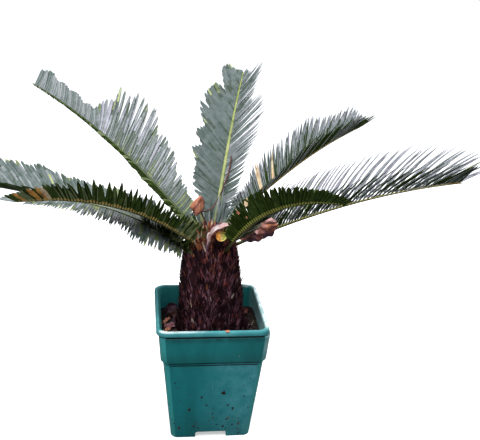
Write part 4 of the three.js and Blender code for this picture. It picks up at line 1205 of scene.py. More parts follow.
# %% The fronds' numbers
# In the palettes below, the silver and lilac finishes paint the sky's reflection on the glossy upper
# sides, and lilac middle zones paint a band of highlight. Dark inner and middle zones near the midrib,
# dark edges and dark under sides are painted shade.
FRONDS = [
    {
        "name": "frond_up_left", "heading": 144, "foot_radius": 28, "foot_height": 466,
        "rise": 40, "bend": 16, "length": 545, "sweep": 12, "roll": -10, "first": 0.10,
        "rib": "rib_dark",
        "right": {
            "lift": 36,
            "lean": [[0.16, 80], [0.5, 68], [0.6, 62], [0.66, 52], [0.85, 58], [0.95, 72], [1, 80]],
            "reach": [
                [0.1, 36], [0.15, 49], [0.2, 60], [0.26, 72], [0.3, 93], [0.35, 112], [0.375, 100],
                [0.4, 118], [0.43, 138], [0.48, 150], [0.52, 148], [0.55, 124], [0.58, 150],
                [0.6, 112], [0.64, 72], [0.675, 46], [0.73, 42], [0.8, 51], [0.9, 51], [0.96, 60],
                [1, 42],
            ],
            "depth": 0.2, "rough": 0.03, "blunt": [[0.6, 0.55], [0.66, 1]], "own_halves": 0.7,
            "width": 1.2, "pinch": 8, "gap": 0.02,
            "upper": {"leaf_silver": 60, "leaf_lilac": 20, "leaf_sage": 20},
            "inner": {"leaf_dusk": 30, "leaf_sage": 36, "leaf_silver": 14, "leaf_moss": 20},
            "middle": {"leaf_silver": 30, "leaf_lilac": 52, "leaf_sage": 12, "leaf_dusk": 6},
            "outer": {"leaf_silver": 42, "leaf_sage": 18, "leaf_lilac": 28, "leaf_dusk": 12},
            "edge": {"leaf_sage": 30, "leaf_silver": 34, "leaf_dusk": 36},
            "tip": {"leaf_sage": 42, "leaf_silver": 12, "leaf_dusk": 22, "leaf_moss": 12, "leaf_lime": 12},
            "patches": [
                [0.10, 0.20, {"leaf_dusk": 45, "leaf_sage": 35, "leaf_moss": 20}],
                [0.605, 0.64, {"leaf_lilac": 70, "leaf_silver": 30}],
                [0.66, 1.0, {"leaf_silver": 34, "leaf_sage": 66}],
            ],
        },
        "left": {
            "lift": 28,
            "lean": [[0.16, 75], [0.5, 60], [1, 50]],
            "reach": [
                [0.16, 36], [0.3, 42], [0.37, 36], [0.45, 22], [0.55, 22], [0.66, 13], [0.75, 7],
                [1, 4],
            ],
            "slat": -30, "width": 1.2, "rough": 0.15,
            "upper": {"leaf_green": 22, "leaf_deep": 64, "leaf_moss": 14},
            "under": {"leaf_green": 22, "leaf_deep": 64, "leaf_moss": 14},
            "comb": {"leaf_green": 40, "leaf_deep": 20, "comb_lime": 40},
        },
    },
    {
        "name": "frond_up_back", "heading": 73, "foot_radius": 40, "foot_height": 452,
        "rise": 57, "bend": 20, "length": 455, "sweep": -1, "roll": 0, "first": 0.05,
        "rib_width": 1.0,
        "right": {
            "lift": 25,
            "lean": [[0.14, 70], [0.5, 50], [0.9, 30], [1, 18]],
            "reach": [
                [0.05, 46], [0.14, 54], [0.23, 58], [0.3, 68], [0.38, 80], [0.42, 100], [0.5, 106],
                [0.56, 116], [0.62, 112], [0.65, 98], [0.68, 64], [0.71, 74], [0.77, 84], [0.83, 97],
                [0.87, 93], [0.91, 44], [1, 16],
            ],
            "depth": 0.08, "width": 0.95, "own_halves": 0.6,
            "edge": {"leaf_dusk": 24, "leaf_silver": 44, "leaf_sage": 32},
            "upper": {"leaf_silver": 34, "leaf_lilac": 50, "leaf_sage": 8, "leaf_dusk": 8},
            "inner": {"leaf_sage": 44, "leaf_silver": 56},
            "tip": {"leaf_silver": 40, "leaf_lilac": 42, "leaf_moss": 10, "leaf_dusk": 8},
            "patches": [
                [0.05, 0.30, {"leaf_sage": 56, "leaf_dusk": 24, "leaf_silver": 20}],
                [0.30, 0.42, {"leaf_sage": 50, "leaf_silver": 38, "leaf_dusk": 12}],
            ],
        },
        "left": {
            "lift": 25,
            "lean": [[0.14, 70], [0.5, 50], [0.9, 32], [1, 20]],
            "reach": [
                [0.05, 45], [0.125, 57], [0.155, 46], [0.19, 79], [0.215, 62], [0.23, 77],
                [0.29, 79], [0.335, 98], [0.39, 68], [0.42, 104], [0.475, 76], [0.53, 119],
                [0.575, 66], [0.59, 114], [0.65, 104], [0.7, 94], [0.75, 42], [0.8, 88],
                [0.825, 91], [0.88, 74], [0.92, 42], [1, 8],
            ],
            "notches": [0.155, 0.215, 0.39, 0.475, 0.575, 0.75], "pinch": 8,
            "gap": 0.025, "depth": 0.05, "rough": 0.01, "blunt": [[0, 1]], "width": 1.3, "slat": 9,
            "upper": {"leaf_sage": 85, "leaf_dusk": 15},
            "tip": {"leaf_sage": 90, "leaf_moss": 6, "leaf_lime": 4},
        },
    },
    {
        "name": "frond_back_right", "heading": 38, "foot_radius": 22, "foot_height": 470,
        "rise": 28, "bend": 14, "length": 520, "sweep": -8, "roll": 4, "first": 0.14,
        "rib": "rib_sage",
        "right": {
            "lift": 74,
            "lean": [[0.2, 46], [0.45, 42], [0.7, 36], [1, 14]],
            "reach": [[0.2, 30], [0.36, 42], [0.44, 72], [0.5, 84], [0.8, 90], [1, 60]],
            "width": 0.6, "pitch": [[0, 8]], "vein": {"leaf_deep": 55, "leaf_lilac": 45},
            "edge": {"leaf_silver": 60, "leaf_lilac": 40},
            "upper": {"leaf_silver": 30, "leaf_lilac": 20, "leaf_green": 20, "leaf_dusk": 30},
            "under": {"leaf_deep": 50, "leaf_green": 50},
        },
        "left": {
            "lift": 34,
            "lean": [[0.2, 62], [0.32, 58], [0.38, 48], [0.6, 40], [0.85, 32], [1, 20]],
            "reach": [
                [0.2, 44], [0.23, 50], [0.26, 58], [0.29, 76], [0.35, 88], [0.38, 104], [0.44, 110],
                [0.5, 119], [0.53, 127], [0.62, 134], [0.65, 128], [0.71, 117], [0.8, 108],
                [0.86, 118], [0.9, 98], [0.95, 66], [1, 40],
            ],
            "rough": 0.06, "own_halves": 0.6,
            "edge": {"leaf_dusk": 26, "leaf_deep": 10, "leaf_silver": 64},
            "upper": {"leaf_silver": 40, "leaf_lilac": 48, "leaf_sage": 6, "leaf_dusk": 6},
            "inner": {"leaf_deep": 55, "leaf_dusk": 45},
            "middle": {"leaf_deep": 20, "leaf_dusk": 36, "leaf_sage": 26, "leaf_silver": 18},
            "patches": [[0.305, 0.322, {"leaf_straw": 1}], [0.388, 0.405, {"leaf_straw": 1}]],
        },
    },
    {
        "name": "frond_right", "heading": -2, "foot_radius": 32, "foot_height": 437,
        "rise": 26, "bend": 18, "length": 562, "sweep": -3, "roll": 0, "first": 0.18,
        "right": {
            "lift": 60,
            "curl": 0.2,
            "lean": [[0.2, 62], [0.5, 50], [0.7, 40], [0.88, 36], [0.95, 52], [1, 64]],
            "reach": [[0.2, 70], [0.45, 104], [0.6, 118], [0.8, 110], [0.9, 84], [1, 56]],
            "width": 0.52, "pitch": [[0, 6], [0.5, 8], [0.6, 11], [0.9, 10], [0.94, 4]],
            "upper": {"leaf_dusk": 44, "leaf_sage": 24, "leaf_silver": 22, "leaf_deep": 10},
            "under": {"leaf_deep": 86, "leaf_sage": 14}, "vein": {"leaf_deep": 60, "leaf_lilac": 40},
        },
        "left": {
            "lift": 38, "droop": 0.05, "curl": 0.32,
            "lean": [[0.2, 64], [0.4, 60], [0.5, 57], [0.7, 50], [0.9, 38], [1, 26]],
            "reach": [[0.2, 128], [0.35, 140], [0.5, 151], [0.62, 160], [0.8, 152], [0.9, 124], [1, 60]],
            "width": 0.56, "pitch": [[0.3, 6.6], [0.5, 7.5], [0.6, 9], [1, 11]],
            "edge": {"leaf_dusk": 22, "leaf_silver": 48, "leaf_lilac": 30},
            "upper": {"leaf_silver": 18, "leaf_lilac": 70, "leaf_sage": 8, "leaf_moss": 4},
        },
    },
    {
        "name": "frond_front_right", "heading": -54, "foot_radius": 38, "foot_height": 428,
        "rise": 56, "bend": 50, "length": 400, "sweep": 8, "roll": -22, "first": 0.17,
        "rib": "rib_dark", "rib_width": 0.62,
        "right": {
            "lift": 32,
            "lean": [[0.2, 75], [0.6, 62], [1, 30]],
            "reach": [
                [0.17, 26], [0.22, 34], [0.27, 46], [0.33, 58], [0.45, 67], [0.6, 63], [0.7, 58],
                [0.85, 50], [1, 30],
            ],
            "slat": 4, "pitch": [[0, 7]], "width": 1.25, "rough": 0.02, "depth": 0.05,
            "blunt": [[0, 0.5]], "comb": {"comb_lime": 1}, "foot": 9,
            "upper": {"leaf_green": 60, "leaf_dusk": 40},
            "under": {"leaf_deep": 84, "leaf_green": 16},
        },
        "left": {
            "lift": 28, "droop": 0.05,
            "lean": [[0.2, 75], [0.6, 60], [1, 30]],
            "reach": [[0.2, 62], [0.45, 60], [0.7, 40], [0.85, 22], [1, 6]],
            "upper": {"leaf_dusk": 60, "leaf_green": 40},
        },
    },
    {
        "name": "frond_front_left", "heading": 217, "foot_radius": 27, "foot_height": 443,
        "rise": 41, "bend": 37, "length": 491, "sweep": -4, "roll": 22, "first": 0.08,
        "rib": "rib_dark", "rib_width": 0.62,
        "right": {
            "lift": 34,
            "lean": [[0.2, 75], [0.6, 58], [1, 28]],
            "reach": [[0.2, 70], [0.5, 85], [0.8, 65], [1, 40]],
            "upper": {"leaf_sage": 50, "leaf_dusk": 35, "leaf_silver": 15},
        },
        "left": {
            "lift": 38,
            "lean": [[0.16, 75], [0.6, 60], [1, 30]],
            "reach": [[0.16, 50], [0.3, 60], [0.5, 70], [0.62, 80], [0.68, 80], [0.8, 58], [1, 36]],
            "notches": [0.24, 0.31, 0.38, 0.45, 0.52, 0.585, 0.64, 0.70, 0.76],
            "slat": 4, "pitch": [[0, 7]], "width": 1.2, "depth": 0.44, "gap": 0.022, "pinch": 13,
            "vein": {"leaf_green": 70, "leaf_moss": 30}, "comb": {"comb_yellow": 1}, "foot": 13,
            "upper": {"leaf_green": 60, "leaf_dusk": 40},
            "under": {"leaf_deep": 80, "leaf_green": 20},
            "patches": [
                [0.08, 0.21, {"leaf_green": 34, "leaf_deep": 12, "leaf_moss": 34, "leaf_lime": 20}],
                [0.82, 0.90, {"leaf_rust": 50, "leaf_straw": 16, "leaf_green": 34}],
                [0.92, 0.98, {"leaf_rust": 22, "leaf_moss": 18, "leaf_green": 60}],
            ],
        },
    },
    {
        "name": "frond_left_low", "heading": 196, "foot_radius": 34, "foot_height": 417,
        "rise": 46, "bend": 45, "length": 425, "sweep": 10, "roll": -16, "first": 0.12,
        "rib": "rib_sage",
        "right": {
            "lift": 4,
            "lean": [[0.2, 75], [0.6, 60], [1, 30]],
            "reach": [[0.2, 60], [0.5, 75], [0.8, 60], [1, 35]],
            "upper": {"leaf_sage": 60, "leaf_dusk": 40},
        },
        "left": {
            "lift": 0, "droop": 0.1,
            "lean": [[0.12, 78], [0.6, 65], [1, 30]],
            "reach": [
                [0.12, 56], [0.18, 56], [0.23, 82], [0.32, 92], [0.38, 96], [0.45, 78], [0.5, 60],
                [0.6, 58], [0.7, 48], [0.8, 39], [0.9, 28], [1, 14],
            ],
            "width": 0.85, "pitch": [[0, 6]], "rough": 0.08, "depth": 0.16,
            "upper": {"leaf_sage": 46, "leaf_silver": 24, "leaf_moss": 18, "leaf_dusk": 12},
            "tip": {"leaf_dusk": 32, "leaf_sage": 32, "leaf_moss": 18, "leaf_lime": 18},
        },
    },
    {
        "name": "frond_left_back", "heading": 168, "foot_radius": 22, "foot_height": 459,
        "rise": 16, "bend": 15, "length": 590, "sweep": -6, "roll": 0, "first": 0.18,
        "right": {
            "lift": 36,
            "lean": [[0.2, 72], [0.5, 55], [0.7, 42], [1, 28]],
            "reach": [
                [0.2, 66], [0.3, 72], [0.4, 74], [0.45, 78], [0.5, 84], [0.56, 104], [0.65, 118],
                [0.8, 118], [1, 60],
            ],
            "blunt": [[0, 0.8]],
            # This patch paints light on the stretch that the front left frond shades: it deals paler
            # finishes there.
            "patches": [[0.18, 0.45, {"leaf_silver": 40, "leaf_sage": 38, "leaf_moss": 22}]],
            "upper": {"leaf_sage": 62, "leaf_silver": 26, "leaf_dusk": 12},
            "middle": {"leaf_sage": 52, "leaf_silver": 26, "leaf_dusk": 12, "leaf_lime": 10},
            "tip": {"leaf_sage": 54, "leaf_dusk": 32, "leaf_moss": 9, "leaf_lime": 5},
        },
        "left": {
            "lift": 30,
            "lean": [[0.2, 72], [0.6, 50], [1, 28]],
            "reach": [[0.2, 70], [0.5, 90], [0.8, 95], [1, 50]],
            "upper": {"leaf_sage": 70, "leaf_silver": 30},
        },
    },
    {
        "name": "frond_back_low", "heading": 104, "foot_radius": 30, "foot_height": 436,
        "rise": 6, "bend": 46, "length": 380, "sweep": 0, "roll": 0, "first": 0.2,
        "right": {
            "lift": 22,
            "lean": [[0.2, 72], [0.6, 55], [1, 30]],
            "reach": [[0.2, 50], [0.5, 70], [0.8, 62], [1, 35]],
            "upper": {"leaf_sage": 60, "leaf_silver": 40},
        },
        "left": {
            "lift": 22,
            "lean": [[0.2, 72], [0.6, 55], [1, 30]],
            "reach": [[0.2, 50], [0.5, 70], [0.8, 62], [1, 35]],
            "upper": {"leaf_sage": 60, "leaf_silver": 40},
        },
    },
]
print("fronds:", len(FRONDS))

# %% Walk along a midrib
MIDRIB_STEPS = 60
BEND_POWER = 1.2


def midrib(frond):
    """A function of x from 0 to 1 that gives the point there and the ways along, right and up."""
    out = outwards(frond["heading"])
    point = beside(TRUNK_TOP_X, out, frond["foot_radius"], frond["foot_height"])
    roll = math.radians(frond["roll"])
    places = []
    before = None
    for step in range(MIDRIB_STEPS + 1):
        x = step / MIDRIB_STEPS
        slope = math.radians(frond["rise"] - frond["bend"] * x ** BEND_POWER)
        plan = outwards(frond["heading"] + frond["sweep"] * x * x)
        way = plan * math.cos(slope) + UP * math.sin(slope)
        right = unit(np.cross(way, UP))
        up = np.cross(right, way)
        if before is not None:
            point = point + (before + way) * frond["length"] / MIDRIB_STEPS / 2
        turned_right = right * math.cos(roll) - up * math.sin(roll)
        turned_up = up * math.cos(roll) + right * math.sin(roll)
        places.append(np.array([point, way, turned_right, turned_up]))
        before = way

    def at(x):
        step = min(max(x, 0), 1) * MIDRIB_STEPS
        low = min(int(step), MIDRIB_STEPS - 1)
        return places[low] + (places[low + 1] - places[low]) * (step - low)

    return at


for frond in FRONDS:
    tip = midrib(frond)(1)[0]
    print(frond["name"], "ends at", [round(v) for v in tip], "mm")

# %% [markdown]
# ## Midribs
#
# Each midrib is one tapering limb. Below it is rounded and green, and above it has a shallow
# channel and the yellow-green that shows between the leaflets. It is lofted: a ring of points is
# set across the midrib at each step, and neighbouring rings are joined.

# %% Loft the midribs
RIB_HALF_WIDTH = [[0, 7], [0.15, 5.2], [0.5, 4], [1, 1.6]]
# Points round a rib, as shares of its half-width to the right and up; the first five are on top.
RIB_SECTION = [
    (-0.82, 0.45), (-0.42, 0.62), (0.0, 0.50), (0.42, 0.62), (0.82, 0.45),
    (1.0, 0.05), (0.85, -0.45), (0.45, -0.75), (0.0, -0.85), (-0.45, -0.75),
    (-0.85, -0.45), (-1.0, 0.05),
]
RIB_TOP_FACES = (0, 1, 2, 3)
RIB_WIDTH = 0.8
# A rib_dark top is a dark green that paints shade on midribs that lie hidden among their leaflets.
RIB_FINISHES = ["rib_lime", "rib_sage", "rib_dark", "rib_under"]


def rib(at, top, width):
    """The points, faces and finishes of one midrib, whose upper side has the finish top."""
    points, faces, finishes = [], [], []
    around = len(RIB_SECTION)
    points = []
    for ring in range(MIDRIB_STEPS + 1):
        x = ring / MIDRIB_STEPS
        point, _, right, up = at(x)
        half = along(RIB_HALF_WIDTH, x) * width
        points += [point + right * a * half + up * b * half for a, b in RIB_SECTION]
    finishes = [top if k in RIB_TOP_FACES else "rib_under" for k in range(around)] * MIDRIB_STEPS
    faces = ring_faces(MIDRIB_STEPS + 1, around)
    faces.append(list(range(around))[::-1])
    faces.append([MIDRIB_STEPS * around + k for k in range(around)])
    return np.array(points), faces, finishes + ["rib_under", "rib_under"]


ribs = Pile()
for frond in FRONDS:
    top = frond.get("rib", "rib_lime")
    ribs.add(*rib(midrib(frond), top, frond.get("rib_width", RIB_WIDTH)))
dress(ribs.piece("frond_midribs", RIB_FINISHES), [], smooth_angle=55)

# %% [markdown]
# ## Leaflets
#
# A leaflet is a stiff strap with a sunken middle and edges that roll under. Its upper side is waxy,
# from silver to sage, whose silver and lilac are painted reflection of the sky, and its under side
# is deep green, darkened further as painted shade; the raised vein beneath is paler, partly its own
# colour and partly painted highlight. The colours are dealt out leaflet by leaflet: for each zone
# along it, its two halves and its edges. Dark edges paint the shadow between overlapping leaflets.
# The yellow feet make the comb along the midrib. Leaflets stand in small groups, which gives the
# rows their teeth.

# %% Describe a leaflet
LEAFLET_WIDTH = 8.4
LEAFLET_CURL = 0.05
FOOT_LENGTH = 8
# A place along the leaflet, and its half-width there if it is pointed and if it is blunt.
LEAFLET_RINGS = [
    (0.00, 0.75, 0.75), (0.08, 0.80, 0.80), (0.15, 0.92, 0.92), (0.28, 1.00, 1.00),
    (0.42, 1.00, 1.00), (0.56, 0.96, 1.00), (0.70, 0.84, 1.00), (0.83, 0.62, 0.95),
    (0.93, 0.34, 0.90),
]
# The zones along a leaflet, each with the share of its length where it ends.
ZONES = [(0.1, "foot"), (0.28, "inner"), (0.56, "middle"), (0.8, "outer"), (2, "tip")]
# Points round a leaflet: a share of its half-width across, and millimetres up. The first five are
# its upper side. The last five are its under side, with the raised vein in their middle.
LEAFLET_SECTION = [
    (-1.0, -1.15), (-0.55, -0.20), (0.0, -0.65), (0.55, -0.20), (1.0, -1.15),
    (0.6, -1.35), (0.24, -1.5), (0.0, -2.0), (-0.24, -1.5), (-0.6, -1.35),
]
# What the face after each of those points belongs to, and on which half of the leaflet.
SECTION_PARTS = [
    ("edge", 0), ("upper", 0), ("upper", 1), ("edge", 1), ("under", 1), ("flank", 1),
    ("vein", 1), ("vein", 0), ("flank", 0), ("under", 0),
]
# Neighbours overlap like the slats of a blind, each turned a little about its own length.
SLAT_TURN = 20
LEAF_FINISHES = [
    "leaf_silver", "leaf_lilac", "leaf_sage", "leaf_dusk", "leaf_green", "leaf_deep",
    "leaf_moss", "leaf_lime", "leaf_straw", "leaf_rust", "comb_yellow", "comb_lime",
]
print("points round a leaflet:", len(LEAFLET_SECTION))

# %% Shape one leaflet
def leaflet(at, row, side, x, growth):
    """One leaflet at x; growth holds this leaflet's own length, lean, lift, width and bow."""
    point, way, right, up = at(x)
    lean = math.radians(along(row["lean"], x) + growth["lean"])
    lift = math.radians(row["lift"] + growth["lift"])
    out = right * side * math.cos(lift) + up * math.sin(lift)
    line = way * math.cos(lean) + out * math.sin(lean)
    rib_half = along(RIB_HALF_WIDTH, x)
    start = point + right * side * rib_half * 0.45 + up * rib_half * 0.1
    reach = along(row["reach"], x) * growth["length"]
    half = LEAFLET_WIDTH / 2 * growth["width"]
    upper = unit(np.cross(line, way) * side)
    bow = way * row.get("curl", LEAFLET_CURL) - UP * row.get("droop", 0.0)
    bow = (bow - upper * growth["bow"]) * reach
    foot_share = min(0.14, row.get("foot", FOOT_LENGTH) / reach)
    points = []
    for share, pointed, blunt in LEAFLET_RINGS:
        if 0 < share < 0.1:
            share = foot_share
        full = pointed + (blunt - pointed) * growth["blunt"]
        middle = start + line * reach * share + bow * share * share
        run = unit(line * reach + 2 * bow * share)
        across = unit(np.cross(run, upper))
        normal = np.cross(across, run)
        turned = math.radians(side * row.get("slat", SLAT_TURN) + growth["twist"] * share)
        flat = across * math.cos(turned) + normal * math.sin(turned)
        raised = normal * math.cos(turned) - across * math.sin(turned)
        thin = min(1.0, full + 0.2)
        points += [
            middle + flat * a * half * full + raised * b * thin for a, b in LEAFLET_SECTION
        ]
    points.append(start + line * reach + bow)
    return np.array(points)


def leaflet_faces():
    """The faces that every leaflet shares, and for each its ring, part of the section and half."""
    around = len(LEAFLET_SECTION)
    last = len(LEAFLET_RINGS) - 1
    low, tip = last * around, (last + 1) * around
    faces = [list(range(around))[::-1]] + ring_faces(last + 1, around)
    faces += [[low + k, low + (k + 1) % around, tip] for k in range(around)]
    places = [(0, "under", 0)]
    places += [(ring, *part) for ring in range(last + 1) for part in SECTION_PARTS]
    return faces, places


SHARED_FACES, FACE_PLACES = leaflet_faces()
print("faces on one leaflet:", len(SHARED_FACES))


# %% Deal one leaflet's finishes
OWN_HALVES = 0.25
ZONE_BLUR = 0.16


def deal_zones(row, dice):
    """For each zone of the upper side, the finishes of its two halves, which may differ."""
    zones = {}
    for _, zone in ZONES[1:]:
        palette = row.get(zone, row["upper"])
        first = deal(dice, palette)
        apart = dice.random() < row.get("own_halves", OWN_HALVES)
        second = deal(dice, palette) if apart else first
        zones[zone] = (first, second)
    if "inner" not in row and "tip" not in row:
        zones = dict.fromkeys(zones, zones["middle"])
    return zones


def leaflet_finishes(row, dice, x):
    """The finish of each face of the leaflet at x."""
    zones = deal_zones(row, dice)
    # Under sides get dark greens: partly their own colour, partly painted shade.
    under = deal(dice, row.get("under", {"leaf_green": 55, "leaf_deep": 45}))
    vein = deal(dice, row.get("vein", {"leaf_green": 1}))
    comb = deal(dice, row.get("comb", {"comb_yellow": 1}))
    # Dark edges paint the shadow between overlapping leaflets, and pale edges a highlight.
    edge = deal(dice, row["edge"]) if "edge" in row else None
    for start, end, palette in row.get("patches", []):
        if start <= x <= end:
            under = vein = deal(dice, palette)
            zones = dict.fromkeys(zones, (under, under))
            edge = None
    blur = dice.uniform(-ZONE_BLUR, ZONE_BLUR)
    finishes = []
    for ring, part, half in FACE_PLACES:
        share = LEAFLET_RINGS[ring][0]
        zone = next(name for end, name in ZONES if share == 0 or share + blur < end)
        if ring > 0 and zone == "foot":
            zone = "inner"
        if part == "edge" and edge and ring > 0:
            name = edge
        elif part in ("edge", "upper"):
            name = zones["inner" if zone == "foot" else zone][half]
        elif zone == "foot" and part != "under":
            name = comb
        else:
            name = vein if part == "vein" else under
        finishes.append(name)
    return finishes


# %% Grow the rows
GROUP_GAP = 0.016
SHORTEST_GROUP, LONGEST_GROUP = 0.035, 0.09
LEAFLET_PITCH = 5.2
LAST_LEAFLET = 0.99
TIP_WIDTH = [[0.9, 1.0], [1.0, 0.75]]


def group_edges(row, dice, first):
    """Where a row parts into groups: its own places, or some by chance."""
    if "notches" in row:
        return row["notches"]
    places, x = [], first
    while x < 1:
        x += dice.uniform(SHORTEST_GROUP, LONGEST_GROUP)
        places.append(x)
    return places


def grow_row(heap, frond, at, side, row, dice):
    """Adds one row of leaflets to heap, and returns how many there are."""
    edges = group_edges(row, dice, frond["first"])
    rough = row.get("rough", 0.04)
    count = 0
    x = frond["first"]
    while x < LAST_LEAFLET:
        nearest = min(edges, key=lambda place: abs(place - x))
        parted = (x - nearest) / row.get("gap", GROUP_GAP)
        dip = math.exp(-parted * parted)
        growth = {
            "length": (1 - row.get("depth", 0.1) * dip) * dice.uniform(1 - rough, 1 + rough / 2),
            "lean": row.get("pinch", 5) * parted * dip + dice.uniform(-1.5, 1.5),
            "lift": dice.uniform(-1.5, 1.5),
            "twist": dice.uniform(-10, 10),
            "bow": dice.uniform(-0.01, 0.03),
            "width": dice.uniform(0.92, 1.08) * row.get("width", 1.0) * along(TIP_WIDTH, x),
            "blunt": along(row.get("blunt", [[0, 0]]), x),
        }
        finishes = leaflet_finishes(row, dice, x)
        heap.add(leaflet(at, row, side, x, growth), SHARED_FACES, finishes)
        count += 1
        x += along(row.get("pitch", [[0, LEAFLET_PITCH]]), x) / frond["length"]
    return count


for number, frond in enumerate(FRONDS):
    dice = random.Random(41 + number)
    heap = Pile()
    at = midrib(frond)
    count = grow_row(heap, frond, at, 1, frond["right"], dice)
    count += grow_row(heap, frond, at, -1, frond["left"], dice)
    leaflets = heap.piece(frond["name"] + "_leaflets", LEAF_FINISHES)
    dress(leaflets, [frond["name"]], smooth_angle=50)
    print(frond["name"], "has", count, "leaflets")

# %% [markdown]
# ## Young leaflets in the crown
#
# Short leaflets crowd the crown. Some are blades on the dome's rim that lean out and up, paler at
# the back. Others stand on the feet of the midribs on the left, and the shaded ones are dark. One
# helper plants them all, and deals their greens.

# %% Plant the young leaflets
YOUNG = [
    "leaf_green", "leaf_deep", "leaf_moss", "leaf_lime", "leaf_dusk", "leaf_sage", "leaf_silver",
]
FRONT_GREENS = dict(zip(YOUNG, (26, 8, 34, 24, 2, 6)))
BACK_GREENS = {"leaf_moss": 6, "leaf_dusk": 22, "leaf_sage": 44, "leaf_silver": 28}
SHADED_GREENS = {"leaf_green": 34, "leaf_deep": 58, "leaf_dusk": 8}
dice = random.Random(61)
young = Pile()


def plant(foot, way, face, length, greens):
    """Adds one young leaflet to the pile."""
    shoot = blade(
        foot, unit(way), face, length, dice.uniform(4, 6.5), 1.6,
        curl=dice.uniform(-0.08, 0.14), belly=0.5,
    )
    young.add(*shoot, [deal(dice, greens)] * len(shoot[1]))


# Start and end angle, count, shortest and longest, and the greens.
RIM_SHOOTS = [
    (120, 250, 90, 30, 62, FRONT_GREENS), (80, 130, 24, 40, 80, BACK_GREENS),
    (15, 75, 60, 50, 105, BACK_GREENS), (-35, 15, 44, 40, 84, FRONT_GREENS),
]
LEFT_FRONDS = ("frond_front_left", "frond_left_low", "frond_left_back")
FOOT_SHOOTS = 88
SHADED_SHOOTS = 130
for start, end, count, shortest, longest, greens in RIM_SHOOTS:
    for _ in range(count):
        out = outwards(dice.uniform(start, end))
        foot_radius = dice.uniform(14, 42)
        foot = beside(TRUNK_TOP_X, out, foot_radius, dice.uniform(DOME_FOOT + 2, DOME_FOOT + 16))
        way = leaning(out, dice.uniform(20, 62)) + np.cross(UP, out) * dice.uniform(-0.4, 0.4)
        plant(foot, way, UP, dice.uniform(shortest, longest), greens)
for frond in FRONDS:
    at = midrib(frond)
    for _ in range(FOOT_SHOOTS if frond["name"] in LEFT_FRONDS else 0):
        point, way, right, up = at(dice.uniform(0.0, 0.21))
        lean = way * dice.uniform(-0.3, 1.0) + up * dice.uniform(0.3, 1.2)
        lean = lean - right * dice.uniform(0.2, 1.3)
        plant(point - right * 3, lean, up, dice.uniform(20, 44), FRONT_GREENS)
    for _ in range(SHADED_SHOOTS if frond["name"] == "frond_left_low" else 0):
        point, way, right, up = at(dice.uniform(0.05, 0.36))
        lean = way * dice.uniform(0.2, 1.0) + up * dice.uniform(0.0, 1.0)
        lean = lean + right * dice.uniform(-0.9, 0.9)
        plant(point, lean, up, dice.uniform(24, 46), SHADED_GREENS)
dress(young.piece("young_leaflets", YOUNG), [], smooth_angle=50)

# %% [markdown]
# ## The cut stalk
#
# One old frond was sawn off. What is left is a short dark stub with a slanting face, orange at its
# left and yellow to yellow-green at its right. It is a tapered cone whose top is inset and sunk,
# and poked into a fan, so that the colours of the cut can be dealt by place.

# %% Saw the stub
STUB_LENGTH = 54
STUB_FINISHES = ["fibre_dark", "leaf_rust", "comb_yellow", "comb_lime"]
STUB_WAY = Vector((0.15, -0.62, 0.77)).normalized()
STUB_MIDDLE = place(10, -45, 472)
bpy.ops.mesh.primitive_cone_add(
    vertices=28, radius1=11 * MM, radius2=12.5 * MM, depth=STUB_LENGTH * MM, location=(0, 0, 0)
)
stub = bpy.context.object
stub.name = "cut_stalk_stub"
bpy.ops.object.mode_set(mode="EDIT")
bpy.ops.mesh.select_all(action="SELECT")
bpy.ops.mesh.subdivide(number_cuts=1)
pick(stub, "FACE", lambda f: f.normal.z > 0.9)
bpy.ops.mesh.dissolve_faces()
bpy.ops.mesh.inset(thickness=3.6 * MM)
bpy.ops.transform.translate(value=(0, 0, -2.5 * MM))
bpy.ops.mesh.inset(thickness=1.6 * MM)
bpy.ops.transform.translate(value=(0, 0, 1.2 * MM))
bpy.ops.mesh.poke()
bpy.ops.object.mode_set(mode="OBJECT")
for vertex in stub.data.vertices:
    if vertex.co.z > 0.4 * STUB_LENGTH * MM:
        vertex.co.z += 0.3 * vertex.co.y
    vertex.co.y *= 0.85
stub.location = STUB_MIDDLE
stub.rotation_mode = "QUATERNION"
stub.rotation_quaternion = STUB_WAY.to_track_quat("Z", "Y")
settle(stub)
paint(stub, STUB_FINISHES)
cut_middle = STUB_MIDDLE + STUB_WAY * STUB_LENGTH / 2 * MM
for face in stub.data.polygons:
    if face.normal.dot(STUB_WAY) > 0.5:
        right = (face.center.x - cut_middle.x) / MM
        tone = "leaf_rust" if right < -2 else ("comb_yellow" if right < 4 else "comb_lime")
        face.material_index = STUB_FINISHES.index(tone)
roughen(stub, "stub_bark", 6, 1.2, 0.6)
dress(stub, ["cut_stalk"])

# %% [markdown]
# ## Dry leaves and the dry sheath
#
# Dead leaves are thin shells that have cupped, twisted and crumpled. Each starts as a flat grid
# whose vertices are carried onto a shape by a small function of two shares: s across from -1 to 1,
# and t along from 0 to 1. Solidify gives the shell its thickness and a subdivision rounds it. A few
# small flakes are flat lenses, made like the crusts on the pot.

# %% A shell from a rule
def shell(name, columns, rows, shape, thick, finishes, tint):
    """A thin shell; shape(s, t) gives its points in mm, and tint(s, t) the finish's name."""
    bpy.ops.mesh.primitive_grid_add(x_subdivisions=columns, y_subdivisions=rows, size=2)
    made = bpy.context.object
    made.name = name
    paint(made, finishes)
    for face in made.data.polygons:
        face.material_index = finishes.index(tint(face.center.x, (face.center.y + 1) / 2))
    for vertex in made.data.vertices:
        vertex.co = place(*shape(vertex.co.x, (vertex.co.y + 1) / 2))
    apply_modifier(made, "SOLIDIFY", thickness=thick * MM, offset=0, use_rim=True)
    apply_modifier(made, "SUBSURF", levels=1)
    face_outwards(made)
    return made


def leaf_axes(way, face):
    """The unit ways along, across and out of a dry leaf."""
    long = unit(way)
    across = unit(np.cross(long, face))
    return long, across, np.cross(across, long)


